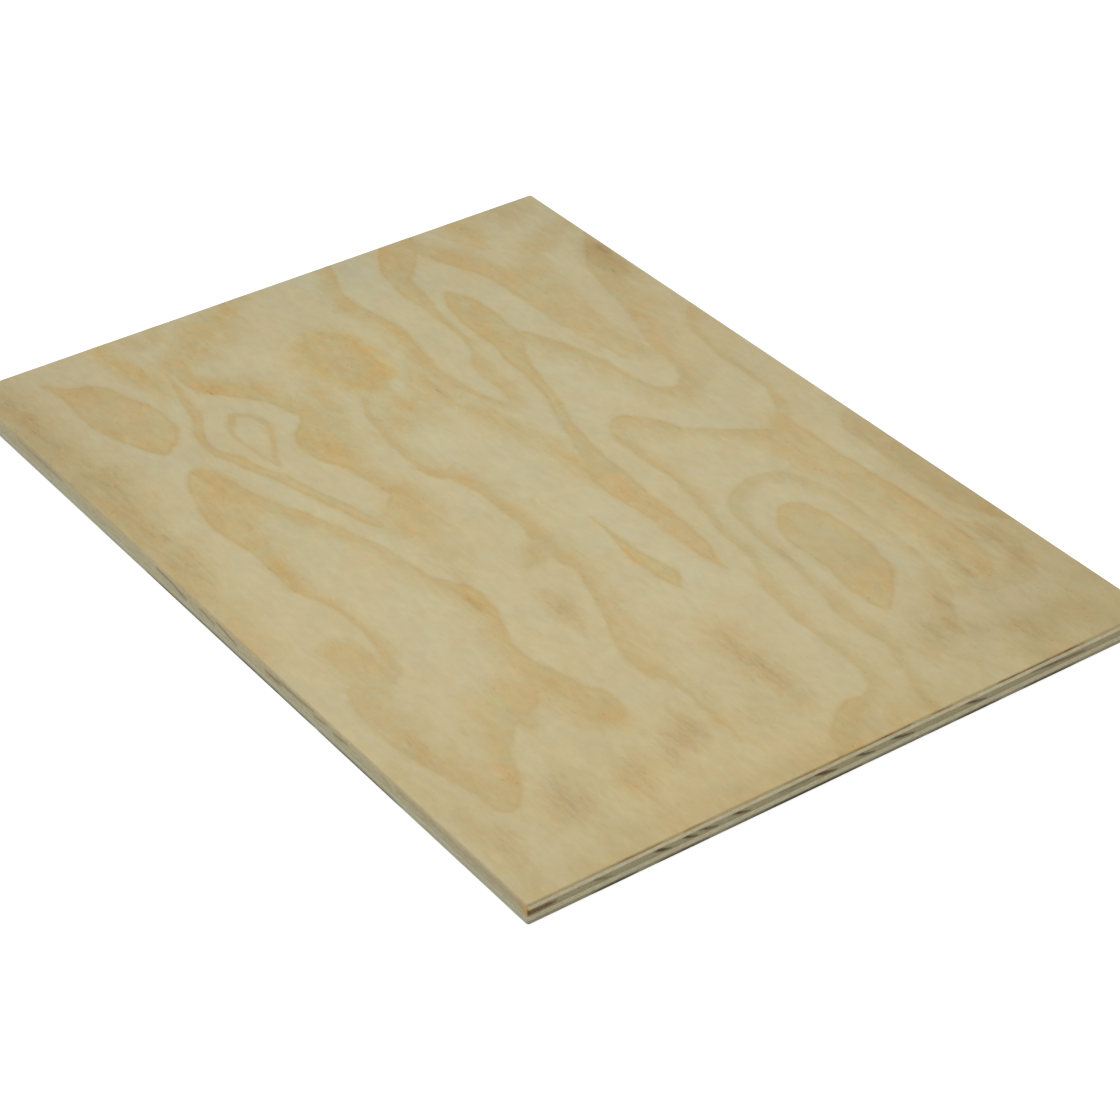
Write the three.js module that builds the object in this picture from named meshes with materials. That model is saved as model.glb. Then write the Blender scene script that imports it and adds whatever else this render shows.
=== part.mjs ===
// A cut panel of five-ply softwood plywood, lying flat. Millimetres, +Z up.
//
// The panel is a lay-up of five rotary-peeled veneers glued face to face. The grain of the
// face, core and back veneers runs along X, the long side. The two crossbands between them
// run along Y, so the layers hold each other flat. After pressing, the panel is sawn through
// all its layers at once, so the veneers share one outline. The saw's sharp edges are then
// eased with sandpaper, on the face and on the back.
//
// The origin is the middle of the underside, on the surface that the panel lies on.

import * as THREE from "three";
import { toCreasedNormals } from "three/addons/utils/BufferGeometryUtils.js";

// ---- The sawn panel ----

const PANEL_LENGTH = 420; // along X, with the grain of the face
const PANEL_WIDTH = 297; // along Y, across the grain of the face
const CORNER_RADIUS = 1.2; // in plan: handling rounds the four sawn corners a little

// ---- The veneers, as pressed ----

const BACK_THICKNESS = 1.6;
const LOWER_CROSSBAND_THICKNESS = 2.2;
const CORE_THICKNESS = 2.7;
const UPPER_CROSSBAND_THICKNESS = 1.9;
const FACE_THICKNESS = 1.4; // sanding leaves the face thinner than the back

// ---- The eased edges ----

const FACE_ARRIS_RADIUS = 0.45; // quarter round along the top edge of the face veneer
const BACK_ARRIS_RADIUS = 0.3; // quarter round along the bottom edge of the back veneer

// ---- Smoothness of the curves ----

const CORNER_STEPS = 8; // straight steps in each rounded corner of the outline
const ARRIS_STEPS = 5; // straight steps in each quarter round
const CREASE_ANGLE = THREE.MathUtils.degToRad(35); // sharper edges than this stay crisp

// ---- Finishes ----

const SANDED_FACE = { color: 0xbdab81, roughness: 0.62, metalness: 0 };
const CROSSBAND_WOOD = { color: 0xa9a384, roughness: 0.8, metalness: 0 };
const CORE_WOOD = { color: 0x8d8163, roughness: 0.85, metalness: 0 };
const UNSANDED_BACK = { color: 0xb09e76, roughness: 0.75, metalness: 0 };

// The lay-up, from the underside up. Each veneer starts at the height where the one below
// it ends. A veneer between two others has no eased edge.
const LAY_UP = [
  {
    name: "back_veneer",
    thickness: BACK_THICKNESS,
    bottomArris: BACK_ARRIS_RADIUS,
    grain: "x",
    finish: UNSANDED_BACK,
  },
  {
    name: "lower_crossband",
    thickness: LOWER_CROSSBAND_THICKNESS,
    grain: "y",
    finish: CROSSBAND_WOOD,
  },
  {
    name: "core_veneer",
    thickness: CORE_THICKNESS,
    grain: "x",
    finish: CORE_WOOD,
  },
  {
    name: "upper_crossband",
    thickness: UPPER_CROSSBAND_THICKNESS,
    grain: "y",
    finish: CROSSBAND_WOOD,
  },
  {
    name: "face_veneer",
    thickness: FACE_THICKNESS,
    topArris: FACE_ARRIS_RADIUS,
    grain: "x",
    finish: SANDED_FACE,
  },
];

/**
 * The plan of the panel moved inwards by `inset`: a rectangle with round corners, as points in
 * order, anticlockwise seen from above. Every inset gives as many points, so that outlines at
 * different insets can be joined point to point.
 */
function panelOutline(inset) {
  const arcCentreX = PANEL_LENGTH / 2 - CORNER_RADIUS;
  const arcCentreY = PANEL_WIDTH / 2 - CORNER_RADIUS;
  const radius = CORNER_RADIUS - inset;
  const quarter = Math.PI / 2;
  const corners = [
    { x: arcCentreX, y: arcCentreY, start: 0 },
    { x: -arcCentreX, y: arcCentreY, start: quarter },
    { x: -arcCentreX, y: -arcCentreY, start: 2 * quarter },
    { x: arcCentreX, y: -arcCentreY, start: 3 * quarter },
  ];
  return corners.flatMap(({ x, y, start }) => {
    const arc = new THREE.EllipseCurve(x, y, radius, radius, start, start + quarter);
    return arc.getPoints(CORNER_STEPS);
  });
}

/**
 * The rings that end a veneer at the height `surface`, in the order from its middle outwards.
 * With no radius that is the sawn outline alone. With one, a quarter round leads from the sawn
 * outline to the surface. `side` is +1 at the top of a veneer and -1 at its bottom.
 */
function edgeRings(surface, radius, side) {
  if (radius === 0) {
    return [{ outline: panelOutline(0), height: surface }];
  }
  const rings = [];
  for (let step = 0; step <= ARRIS_STEPS; step += 1) {
    const turn = (step / ARRIS_STEPS) * (Math.PI / 2);
    const inset = radius * (1 - Math.cos(turn));
    const depth = radius * (1 - Math.sin(turn));
    rings.push({ outline: panelOutline(inset), height: surface - side * depth });
  }
  return rings;
}

/**
 * One closed body through a stack of rings, listed from the lowest up. A band of faces joins
 * each ring to the next, and the first and last rings are filled in as flat faces.
 */
function loft(rings) {
  const ringSize = rings[0].outline.length;
  const positions = rings.flatMap(({ outline, height }) =>
    outline.flatMap((point) => [point.x, point.y, height]),
  );
  const faces = [];

  for (let ring = 1; ring < rings.length; ring += 1) {
    const lower = (ring - 1) * ringSize;
    const upper = ring * ringSize;
    for (let here = 0; here < ringSize; here += 1) {
      const next = (here + 1) % ringSize;
      faces.push(lower + here, lower + next, upper + next);
      faces.push(lower + here, upper + next, upper + here);
    }
  }

  const topRing = (rings.length - 1) * ringSize;
  for (const [a, b, c] of THREE.ShapeUtils.triangulateShape(rings[0].outline, [])) {
    faces.push(c, b, a);
    faces.push(topRing + a, topRing + b, topRing + c);
  }

  const geometry = new THREE.BufferGeometry();
  geometry.setAttribute("position", new THREE.Float32BufferAttribute(positions, 3));
  geometry.setIndex(faces);
  return geometry;
}

/** One veneer between two heights, sawn to the panel's outline and eased where it has an arris. */
function makeVeneer({ name, finish, grain, bottomArris = 0, topArris = 0 }, bottom, top) {
  const underside = edgeRings(bottom, bottomArris, -1).reverse();
  const upside = edgeRings(top, topArris, 1);
  const geometry = toCreasedNormals(loft([...underside, ...upside]), CREASE_ANGLE);
  const veneer = new THREE.Mesh(geometry, new THREE.MeshStandardMaterial(finish));
  veneer.name = name;
  veneer.userData.grain = grain;
  return veneer;
}

const panel = new THREE.Group();
panel.name = "plywood_sheet";

let bottom = 0;
for (const layer of LAY_UP) {
  const top = bottom + layer.thickness;
  panel.add(makeVeneer(layer, bottom, top));
  bottom = top;
}

export default panel;
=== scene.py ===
# %% [markdown]
# # A sheet of plywood, veneer by veneer
#
# The object is a cut panel of five-ply pine plywood lying flat on a table. A log is boiled and
# turned against a long knife, and the wood comes off as one endless veneer, as paper comes off
# a roll. Five pieces of it are glued crosswise, pressed, sawn to size and sanded.
#
# The panel could be one block with a picture of wood on it. Here it is five closed pieces, one
# for each veneer, because the sawn edges show every layer, and each layer shows either the
# ends of its fibres or their sides. All sizes are in metres unless a name ends in `_mm`.

# %% Load the frame
import math

import bpy
import numpy as np
from mathutils import Matrix, Vector


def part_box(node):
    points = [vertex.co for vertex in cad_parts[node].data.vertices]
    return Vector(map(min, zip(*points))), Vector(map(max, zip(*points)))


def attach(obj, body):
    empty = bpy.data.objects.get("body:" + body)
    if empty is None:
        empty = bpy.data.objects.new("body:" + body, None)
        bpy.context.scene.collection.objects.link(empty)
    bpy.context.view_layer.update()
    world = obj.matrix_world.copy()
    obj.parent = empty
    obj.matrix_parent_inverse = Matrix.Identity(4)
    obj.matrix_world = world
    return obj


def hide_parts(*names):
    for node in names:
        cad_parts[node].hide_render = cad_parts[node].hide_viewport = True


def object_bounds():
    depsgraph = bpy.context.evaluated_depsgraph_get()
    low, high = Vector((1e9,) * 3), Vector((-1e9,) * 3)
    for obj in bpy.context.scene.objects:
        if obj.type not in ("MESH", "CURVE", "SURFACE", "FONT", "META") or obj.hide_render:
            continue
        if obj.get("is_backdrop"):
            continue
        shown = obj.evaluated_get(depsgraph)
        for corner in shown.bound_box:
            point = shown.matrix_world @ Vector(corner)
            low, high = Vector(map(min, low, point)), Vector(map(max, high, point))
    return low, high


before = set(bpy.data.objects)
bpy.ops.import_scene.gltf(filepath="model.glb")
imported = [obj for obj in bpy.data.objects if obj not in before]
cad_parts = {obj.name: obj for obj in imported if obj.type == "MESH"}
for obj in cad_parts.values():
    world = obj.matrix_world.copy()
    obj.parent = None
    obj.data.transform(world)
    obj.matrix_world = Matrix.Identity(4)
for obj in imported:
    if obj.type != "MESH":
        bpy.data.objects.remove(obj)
cad_low, cad_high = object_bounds()
VENEERS = ["back_veneer", "lower_crossband", "core_veneer", "upper_crossband", "face_veneer"]
for name in VENEERS:
    low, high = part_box(name)
    print(f"{name}: {1000 * low.z:.1f} to {1000 * high.z:.1f} mm above the table")
panel_length_mm = round(1000 * (cad_high.x - cad_low.x), 2)
panel_width_mm = round(1000 * (cad_high.y - cad_low.y), 2)
print("panel:", panel_length_mm, "by", panel_width_mm, "mm")

# %% [markdown]
# ## The camera
#
# The camera stands about 1.4 m away and 35 degrees above the table, at the panel's right front
# corner, and looks at a point a little to the right of its middle. A long lens keeps the far
# edges nearly as long as the near ones. `to_track_quat` turns the camera towards its target
# with the horizon level, and a turn about its own axis then adds the slight tilt of a camera
# that is held by hand.

# %% Place the camera
CAMERA_PLACE = Vector((0.93464, -0.64292, 0.76336))
CAMERA_TARGET = Vector((0.04603, -0.01729, 0.0098))
CAMERA_TILT = math.radians(-0.705)
LENS_MM = 106.48

camera_data = bpy.data.cameras.new("camera")
camera_data.lens = LENS_MM
camera_data.sensor_width = 36.0
camera_data.clip_start = 0.01
camera = bpy.data.objects.new("camera", camera_data)
bpy.context.collection.objects.link(camera)

level_turn = (CAMERA_TARGET - CAMERA_PLACE).to_track_quat("-Z", "Y").to_matrix().to_4x4()
camera.matrix_world = (
    Matrix.Translation(CAMERA_PLACE) @ level_turn @ Matrix.Rotation(CAMERA_TILT, 4, "Z")
)
bpy.context.scene.camera = camera
print("camera:", round((CAMERA_TARGET - CAMERA_PLACE).length, 3), "m from its target")

# %% [markdown]
# ## Two helpers for colours and nodes
#
# A paint chart gives colours as 0 to 255, while a shader wants them linear, so `paint` turns
# one into the other. `add_node` makes one node, sets it up and joins its inputs in one line.
# That keeps each material short enough to read from top to bottom.

# %% Helpers for colours and nodes


def paint(red, green, blue):
    """A colour from a paint chart (0 to 255) as the linear colour that a shader takes."""
    def linear(value):
        value = value / 255
        return value / 12.92 if value <= 0.04045 else ((value + 0.055) / 1.055) ** 2.4
    return (linear(red), linear(green), linear(blue), 1.0)


def feed(tree, socket, value):
    """Gives an input its value: a number, a colour, or the socket that feeds it."""
    if isinstance(value, bpy.types.NodeSocket):
        tree.links.new(value, socket)
    else:
        socket.default_value = value


def add_node(tree, kind, inputs=None, **settings):
    """One node with its settings made and its inputs fed, each named or numbered."""
    node = tree.nodes.new(kind)
    for setting, value in settings.items():
        setattr(node, setting, value)
    for socket, value in (inputs or {}).items():
        feed(tree, node.inputs[socket], value)
    return node


def calculate(tree, operation, *values):
    """A Math node of up to three values, and its result."""
    return add_node(tree, "ShaderNodeMath", dict(enumerate(values)), operation=operation).outputs[0]


def ramp(tree, value, start, end, low=0.0, high=1.0):
    """`low` up to `start`, `high` from `end` on, and a smooth S between them."""
    inputs = {"Value": value, "From Min": start, "From Max": end, "To Min": low, "To Max": high}
    node = add_node(tree, "ShaderNodeMapRange", inputs, interpolation_type="SMOOTHSTEP")
    return node.outputs["Result"]


def blend(tree, amount, first, second, method="MIX"):
    """`second` over `first` by `amount`, as a colour."""
    node = add_node(tree, "ShaderNodeMix", data_type="RGBA", blend_type=method)
    # A Mix node has a set of sockets for each kind of value. The colours are 6 and 7.
    for socket, value in {0: amount, 6: first, 7: second}.items():
        feed(tree, node.inputs[socket], value)
    return node.outputs[2]


def new_material(name):
    """An empty material: its tree and the Principled shader in it."""
    material = bpy.data.materials.new(name)
    material.use_nodes = True
    tree = material.node_tree
    tree.nodes.clear()
    shader = add_node(tree, "ShaderNodeBsdfPrincipled")
    output = add_node(tree, "ShaderNodeOutputMaterial")
    tree.links.new(shader.outputs["BSDF"], output.inputs["Surface"])
    return material, tree, shader


print("helpers ready")

# %% [markdown]
# ## Table and light
#
# A panel like this is shown on plain white. The table is one large plane. The camera sees it
# as white card: partly its own shade, so that the panel keeps a soft shadow, and partly a glow
# that lifts it to white. Other rays see an ordinary pale table, so the light that bounces back
# onto the sawn edges stays natural.
#
# The light is a big softbox overhead and an even grey surround. The two together bring a level
# surface to about 1, so a colour looks on the panel as it does on its paint chart. The box
# hangs over the front of the panel, and the wood darkens a little towards its far corner.

# %% Table
TABLE_SIZE = 8.0
TABLE_SHADE = 0.62
TABLE_GLOW = (0.66, 0.85)  # under the panel, and beyond the reach of the softbox
GLOW_REACH = (0.25, 0.75)

table_mesh = bpy.data.meshes.new("table")
reach_out = TABLE_SIZE / 2
table_corners = [(-reach_out, -reach_out, 0), (reach_out, -reach_out, 0)]
table_corners += [(reach_out, reach_out, 0), (-reach_out, reach_out, 0)]
table_mesh.from_pydata(table_corners, [], [(0, 1, 2, 3)])
table = bpy.data.objects.new("table", table_mesh)
bpy.context.collection.objects.link(table)
table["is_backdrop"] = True

table_material, tree, shader = new_material("white card")
shader.inputs["Base Color"].default_value = (0.8, 0.8, 0.8, 1)
shader.inputs["Roughness"].default_value = 0.9
shader.inputs["Specular IOR Level"].default_value = 0.1
seen_shade = add_node(tree, "ShaderNodeBsdfDiffuse", {"Color": (TABLE_SHADE,) * 3 + (1,)})
table_place = add_node(tree, "ShaderNodeTexCoord").outputs["Object"]
away = add_node(tree, "ShaderNodeVectorMath", {0: table_place}, operation="LENGTH")
glow = ramp(tree, away.outputs["Value"], *GLOW_REACH, *TABLE_GLOW)
seen_glow = add_node(tree, "ShaderNodeEmission", {"Color": (1, 1, 1, 1), "Strength": glow})
seen = add_node(
    tree, "ShaderNodeAddShader", {0: seen_shade.outputs[0], 1: seen_glow.outputs[0]}
)
rays = add_node(tree, "ShaderNodeLightPath")
direct = calculate(tree, "MAXIMUM", rays.outputs["Is Camera Ray"], rays.outputs["Is Glossy Ray"])
direct = calculate(tree, "MAXIMUM", direct, rays.outputs["Is Transmission Ray"])
mixed = add_node(
    tree,
    "ShaderNodeMixShader",
    {0: direct, 1: shader.outputs["BSDF"], 2: seen.outputs[0]},
)
table_output = next(node for node in tree.nodes if node.type == "OUTPUT_MATERIAL")
tree.links.new(mixed.outputs[0], table_output.inputs["Surface"])
table_mesh.materials.append(table_material)
print("table:", TABLE_SIZE, "m square")

# %% Light
SURROUND_LEVEL = 0.60
SOFTBOX_SIZE = 0.7
SOFTBOX_PLACE = Vector((0.05, -0.10, 0.72))
SOFTBOX_TARGET = Vector((0.04, -0.05, 0.0))
SOFTBOX_POWER = 2.75

world = bpy.data.worlds.new("studio")
bpy.context.scene.world = world
world.use_nodes = True
tree = world.node_tree
tree.nodes.clear()
surround = add_node(
    tree, "ShaderNodeBackground", {"Color": (1, 1, 1, 1), "Strength": SURROUND_LEVEL}
)
backdrop = add_node(tree, "ShaderNodeBackground", {"Color": (1, 1, 1, 1), "Strength": 1.0})
rays = add_node(tree, "ShaderNodeLightPath")
mixed = add_node(
    tree,
    "ShaderNodeMixShader",
    {0: rays.outputs["Is Camera Ray"], 1: surround.outputs[0], 2: backdrop.outputs[0]},
)
add_node(tree, "ShaderNodeOutputWorld", {"Surface": mixed.outputs[0]})

softbox_data = bpy.data.lights.new("softbox", "AREA")
softbox_data.shape = "SQUARE"
softbox_data.size = SOFTBOX_SIZE
softbox_data.energy = SOFTBOX_POWER
softbox = bpy.data.objects.new("softbox", softbox_data)
softbox.location = SOFTBOX_PLACE
softbox.rotation_euler = (SOFTBOX_TARGET - SOFTBOX_PLACE).to_track_quat("-Z", "Y").to_euler()
bpy.context.collection.objects.link(softbox)

bpy.context.scene.view_settings.view_transform = "Standard"
print("softbox:", SOFTBOX_POWER, "W over the front of the panel")

# %% [markdown]
# ## How a veneer shows its rings
#
# A year's growth is pale earlywood that darkens slowly into orange latewood and then stops
# sharply, where winter came. The peeling knife cuts those shells at a shallow angle, so each
# one opens into a long flame, a loop or an island on the face. Seen across the fibres, a flame
# has one crisp side and one that melts into the pale wood.
#
# A noise texture can't place such flames. They are drawn here as **bands**: a path of points
# with a half width at each, in millimetres on the panel. The crisp side is named as it lies
# when one walks along the path. Every point of the mesh then learns how deep it lies inside
# the nearest band. The value is kept unclamped and is called `depth`: zero on the band's
# boundary, and one where the wood has had its whole soft side to darken. The material turns it
# into colour, and there it can also fray it along the fibres.

# %% Smooth noise and smooth paths


def smooth_step(value):
    """0 up to 0, 1 from 1 on, and an S between."""
    value = np.clip(value, 0.0, 1.0)
    return value * value * (3.0 - 2.0 * value)


def soft_noise(across, up, seed):
    """Rolling noise from -1 to 1, with hills about one unit wide."""
    heights = np.random.default_rng(seed).uniform(-1.0, 1.0, (97, 97))
    column, row = np.floor(across).astype(int), np.floor(up).astype(int)
    right, above = smooth_step(across - column), smooth_step(up - row)

    def hill(step_right, step_up):
        return heights[(column + step_right) % 97, (row + step_up) % 97]

    near = hill(0, 0) * (1 - right) + hill(1, 0) * right
    far = hill(0, 1) * (1 - right) + hill(1, 1) * right
    return near * (1 - above) + far * above


def smooth_path(points, closed):
    """A smooth curve through points of any size (Catmull-Rom), with 4 steps between two."""
    points = np.array(points, float)
    if closed:
        points = np.vstack([points[-1:], points, points[:2]])
    else:
        points = np.vstack([2 * points[0] - points[1], points, 2 * points[-1] - points[-2]])
    step = np.linspace(0.0, 1.0, 4, endpoint=False)[:, None]
    pieces = []
    for a, b, c, d in zip(points, points[1:], points[2:], points[3:]):
        bend = 2 * a - 5 * b + 4 * c - d
        pieces.append(b + 0.5 * ((c - a) * step + bend * step**2 + (3 * b - a - 3 * c + d) * step**3))
    return np.vstack(pieces + [points[-2:-1]])


CRISP_MM = 1.5  # even a crisp side is a little blurred by sanding


def depth_in_band(x, y, points, closed=False, crisp=None, soft=4.0):
    """For each place: the depth, how crisp its side is, and how far inside it lies in mm."""
    line = smooth_path(points, closed)
    inside_mm = np.full(x.shape, -1e9)
    side = np.zeros(x.shape)
    width = np.ones(x.shape)
    for (ax, ay, start_width), (bx, by, end_width) in zip(line[:-1], line[1:]):
        along_x, along_y = bx - ax, by - ay
        length = math.hypot(along_x, along_y)
        share = np.clip(((x - ax) * along_x + (y - ay) * along_y) / length**2, 0.0, 1.0)
        off_x, off_y = x - ax - share * along_x, y - ay - share * along_y
        half = np.maximum(start_width + (end_width - start_width) * share, 0.05)
        inside = half - np.hypot(off_x, off_y)
        closest = inside > inside_mm
        inside_mm[closest] = inside[closest]
        width[closest] = half[closest]
        side[closest] = ((along_x * off_y - along_y * off_x) / length)[closest]
    to_left = smooth_step(0.5 + 0.5 * side / width)
    neither, both = np.zeros(x.shape), np.ones(x.shape)
    crispness = {None: neither, "both": both, "left": to_left, "right": 1 - to_left}[crisp]
    fade_mm = soft + (CRISP_MM - soft) * crispness
    return inside_mm / fade_mm, crispness, inside_mm


test_depth, _, _ = depth_in_band(np.arange(8.0), np.zeros(8), [(0, -9, 3), (0, 9, 3)])
print("depth every millimetre across half a band:", test_depth.round(2))

# %% [markdown]
# ## The figure of the face
#
# The face shows one ring pattern: two long flames that run in from the left edge, an eye, a
# few islands, and a big loop round an oval near the right end. `tone` says how orange a band
# is, and `hollow` pales the middle of an island, where the knife has gone through the latewood
# into the next year's earlywood.
#
# The bands are drawn region by region. Here X runs to the right and Y away from the camera, so
# the near long side is at Y = -148.5. The first region is the far left, where the rings bend
# round a knot that lay just beyond the panel.

# %% Bands at the far left
FACE_BANDS = {
    "far ring": dict(
        crisp="right", soft=4, tone=0.72,
        path=[(-86, 150, 1), (-76, 142, 2.6), (-66, 136.5, 2.4), (-50, 133, 1.9), (-20, 132.3, 1.7),
              (-4, 131.2, 2), (6, 128, 2.8), (13, 124, 4)],
    ),
    "far haze": dict(
        soft=9, tone=0.2,
        path=[(-74, 147, 4), (-50, 143, 5), (-20, 142, 5), (0, 139, 3)],
    ),
    "knot ring": dict(
        crisp="right", soft=9, tone=0.6,
        path=[(-162, 150, 4), (-148, 143, 6.5), (-135, 137, 7), (-118, 131.5, 7),
              (-102, 127, 5.5), (-88, 123.3, 4.4), (-75, 118.3, 4), (-62, 114, 3.6),
              (-50, 112.2, 3), (-38, 110.3, 3.4)],
    ),
    "knot ring, bend": dict(
        crisp="right", soft=8, tone=0.8,
        path=[(-50, 112.6, 2), (-38, 110.8, 3.2), (-30, 106.5, 5.4), (-26.5, 101, 6),
              (-28, 95.5, 4.4), (-38, 89.3, 1.8), (-50, 87.5, 2), (-64, 85.5, 2.4),
              (-76, 82.4, 3), (-86, 78.8, 3.8), (-96, 75, 4.4), (-104, 70, 5)],
    ),
    "inner line": dict(
        crisp="right", soft=4, tone=0.38,
        path=[(-104, 91, 1), (-94, 92.5, 1.4), (-84, 94, 1.6), (-74, 95.5, 1.4), (-64, 96.5, 0.8)],
    ),
    "upper fork": dict(
        soft=4.5, tone=0.65,
        path=[(-178, 150, 3.5), (-175, 138, 4.6), (-171.5, 128, 5.8), (-167, 119, 6.6),
              (-157, 112.5, 6.4), (-142, 108.5, 6.6), (-130, 105.5, 7), (-112, 102.3, 7.4),
              (-94, 101, 7), (-78, 103.5, 5.6), (-66, 106, 3.6), (-58, 107, 1.5)],
    ),
    "lower fork": dict(
        crisp="right", soft=5, tone=0.8,
        path=[(-203, 77, 3), (-194, 80.5, 5.6), (-184, 84, 6.6), (-172, 89, 6.4), (-160, 93, 6.2),
              (-148, 96.5, 8), (-134, 98, 8.8), (-120, 98, 8.2), (-105, 96.5, 7.8), (-94, 96.5, 4)],
    ),
    "fork fill": dict(
        soft=3.5, tone=0.7, path=[(-154, 102, 3.5), (-146, 103, 8), (-132, 102, 8), (-116, 101, 6)],
    ),
    "west edge island": dict(
        soft=6, tone=1,
        path=[(-213, 106, 8), (-203, 105, 6.6), (-194, 103, 4.6), (-186, 101.5, 1.6)],
    ),
    "west far patch": dict(
        soft=7, tone=0.35,
        path=[(-213, 138, 7), (-205, 132, 7), (-200, 124, 4), (-200, 117, 2)],
    ),
}
print(len(FACE_BANDS), "bands so far")

# %% [markdown]
# The two long flames come in from the left edge and meet in a narrow tongue that reaches the
# middle of the panel. Between them the knife only just touched the latewood, so the eye is an
# island of it.

# %% Flames and the eye
FACE_BANDS |= {
    "west flame": dict(
        crisp="both", soft=5, tone=0.95,
        path=[(-213, 72, 8), (-203, 68.5, 9), (-195, 63.5, 8.4), (-186, 57.5, 6.6),
              (-176, 53.5, 4.8), (-164, 52, 4.4), (-155, 51.5, 3.4), (-146, 50.3, 1.8),
              (-130, 50, 1.3), (-116, 48.9, 1.5)],
    ),
    "west flame, tip": dict(
        crisp="right", soft=3.5, tone=0.75,
        path=[(-116, 48.7, 1.3), (-106, 46.2, 2.2), (-98, 42.7, 3.4), (-88, 41, 4),
              (-78, 40.5, 3.8), (-70, 39.3, 3.6), (-63, 36.5, 3.4), (-60, 33.8, 3),
              (-65, 30.3, 2.2), (-74, 27.6, 2.2), (-86, 24.5, 2.8), (-98, 22.5, 3.6)],
    ),
    "west flame, lower arm": dict(
        crisp="left", soft=5, tone=0.95,
        path=[(-213, 34.5, 2.4), (-204, 31, 2.6), (-197, 27.8, 2.8), (-190, 25.2, 3.4),
              (-183, 22.7, 4), (-176, 22, 4.4), (-168, 23.6, 3.8), (-158, 26, 3.6),
              (-148, 27.5, 3.6), (-138, 27.2, 4.2), (-126, 25, 4), (-112, 22.7, 3.8),
              (-98, 22.3, 3.4)],
    ),
    "tongue": dict(
        crisp="both", soft=4.5, tone=1.0,
        path=[(-156, 65.5, 1.8), (-149, 64.8, 5.4), (-139, 64.4, 8), (-124, 63.6, 8.4),
              (-110, 62.8, 7.6), (-100, 60.5, 6.4), (-90, 57.5, 4.6), (-80, 55.8, 3.4),
              (-70, 54, 2.8), (-56, 51, 2.6), (-44, 47.3, 2.8)],
    ),
    "tongue, right part": dict(
        crisp="both", soft=3.5, tone=0.8,
        path=[(-50, 49, 2), (-40, 46, 2.8), (-30, 43.3, 3), (-20, 40.5, 3.4), (-8, 37.8, 4.4),
              (4, 34.8, 7), (16, 34, 7.4), (28, 34.2, 6.4), (42, 34.7, 5.2), (58, 34.7, 4.8),
              (72, 34, 4), (82, 32.5, 2), (90, 32, 0.6)],
    ),
    "tongue branch": dict(
        soft=5, tone=1,
        path=[(8, 31, 4), (-6, 30.2, 4.4), (-20, 29.3, 4.4), (-36, 26.3, 4), (-48, 23.5, 3.8),
              (-60, 20.3, 3.6), (-72, 17.8, 3.4), (-84, 15.5, 3.6), (-96, 12.5, 4.5),
              (-108, 10.5, 5)],
    ),
    "eye": dict(
        soft=5, tone=1.5, hollow=0.4,
        path=[(-153, -3, 10), (-146, -4, 15), (-137, -4.7, 16.6), (-127, -3.7, 15.4),
              (-118, -2.5, 13), (-111, -2.5, 8.4)],
    ),
    "eye haze": dict(
        soft=11, tone=0.95,
        path=[(-98, 8, 4), (-90, 2, 8), (-84, -7, 9), (-76, -14, 6)],
    ),
    "middle ring": dict(
        crisp="right", soft=7, tone=0.82,
        path=[(-104, -13, 2), (-92, -18, 2.6), (-80, -20.7, 2.8), (-66, -22.3, 2.8),
              (-52, -23.3, 2.6), (-42, -23.3, 3), (-36, -20.7, 3.6), (-28, -16, 3.4),
              (-16, -12.7, 3.6), (0, -11.8, 3.6), (16, -12.3, 3.6), (28, -14, 4),
              (42, -14.3, 4.6), (56, -13.2, 4), (66, -16.6, 2.8), (78, -20.6, 2.6), (90, -23.5, 3.4),
              (102, -28.2, 4.2), (114, -31.3, 4.6), (126, -31.3, 4), (136, -29.5, 2.6),
              (150, -29.6, 1.7), (166, -30.3, 1.6), (182, -31, 1.2)],
    ),
    "middle spur": dict(
        soft=3.5, tone=0.65,
        path=[(35, -17.5, 6.5), (37, -21, 6), (40, -25.5, 3.2), (42.5, -29, 0.8)],
    ),
}
print(len(FACE_BANDS), "bands so far")

# %% [markdown]
# The near left quarter has the strongest wood: a ring with three humps, a small loop that is
# nothing but an outline, and two islands with pale hearts.

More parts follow.
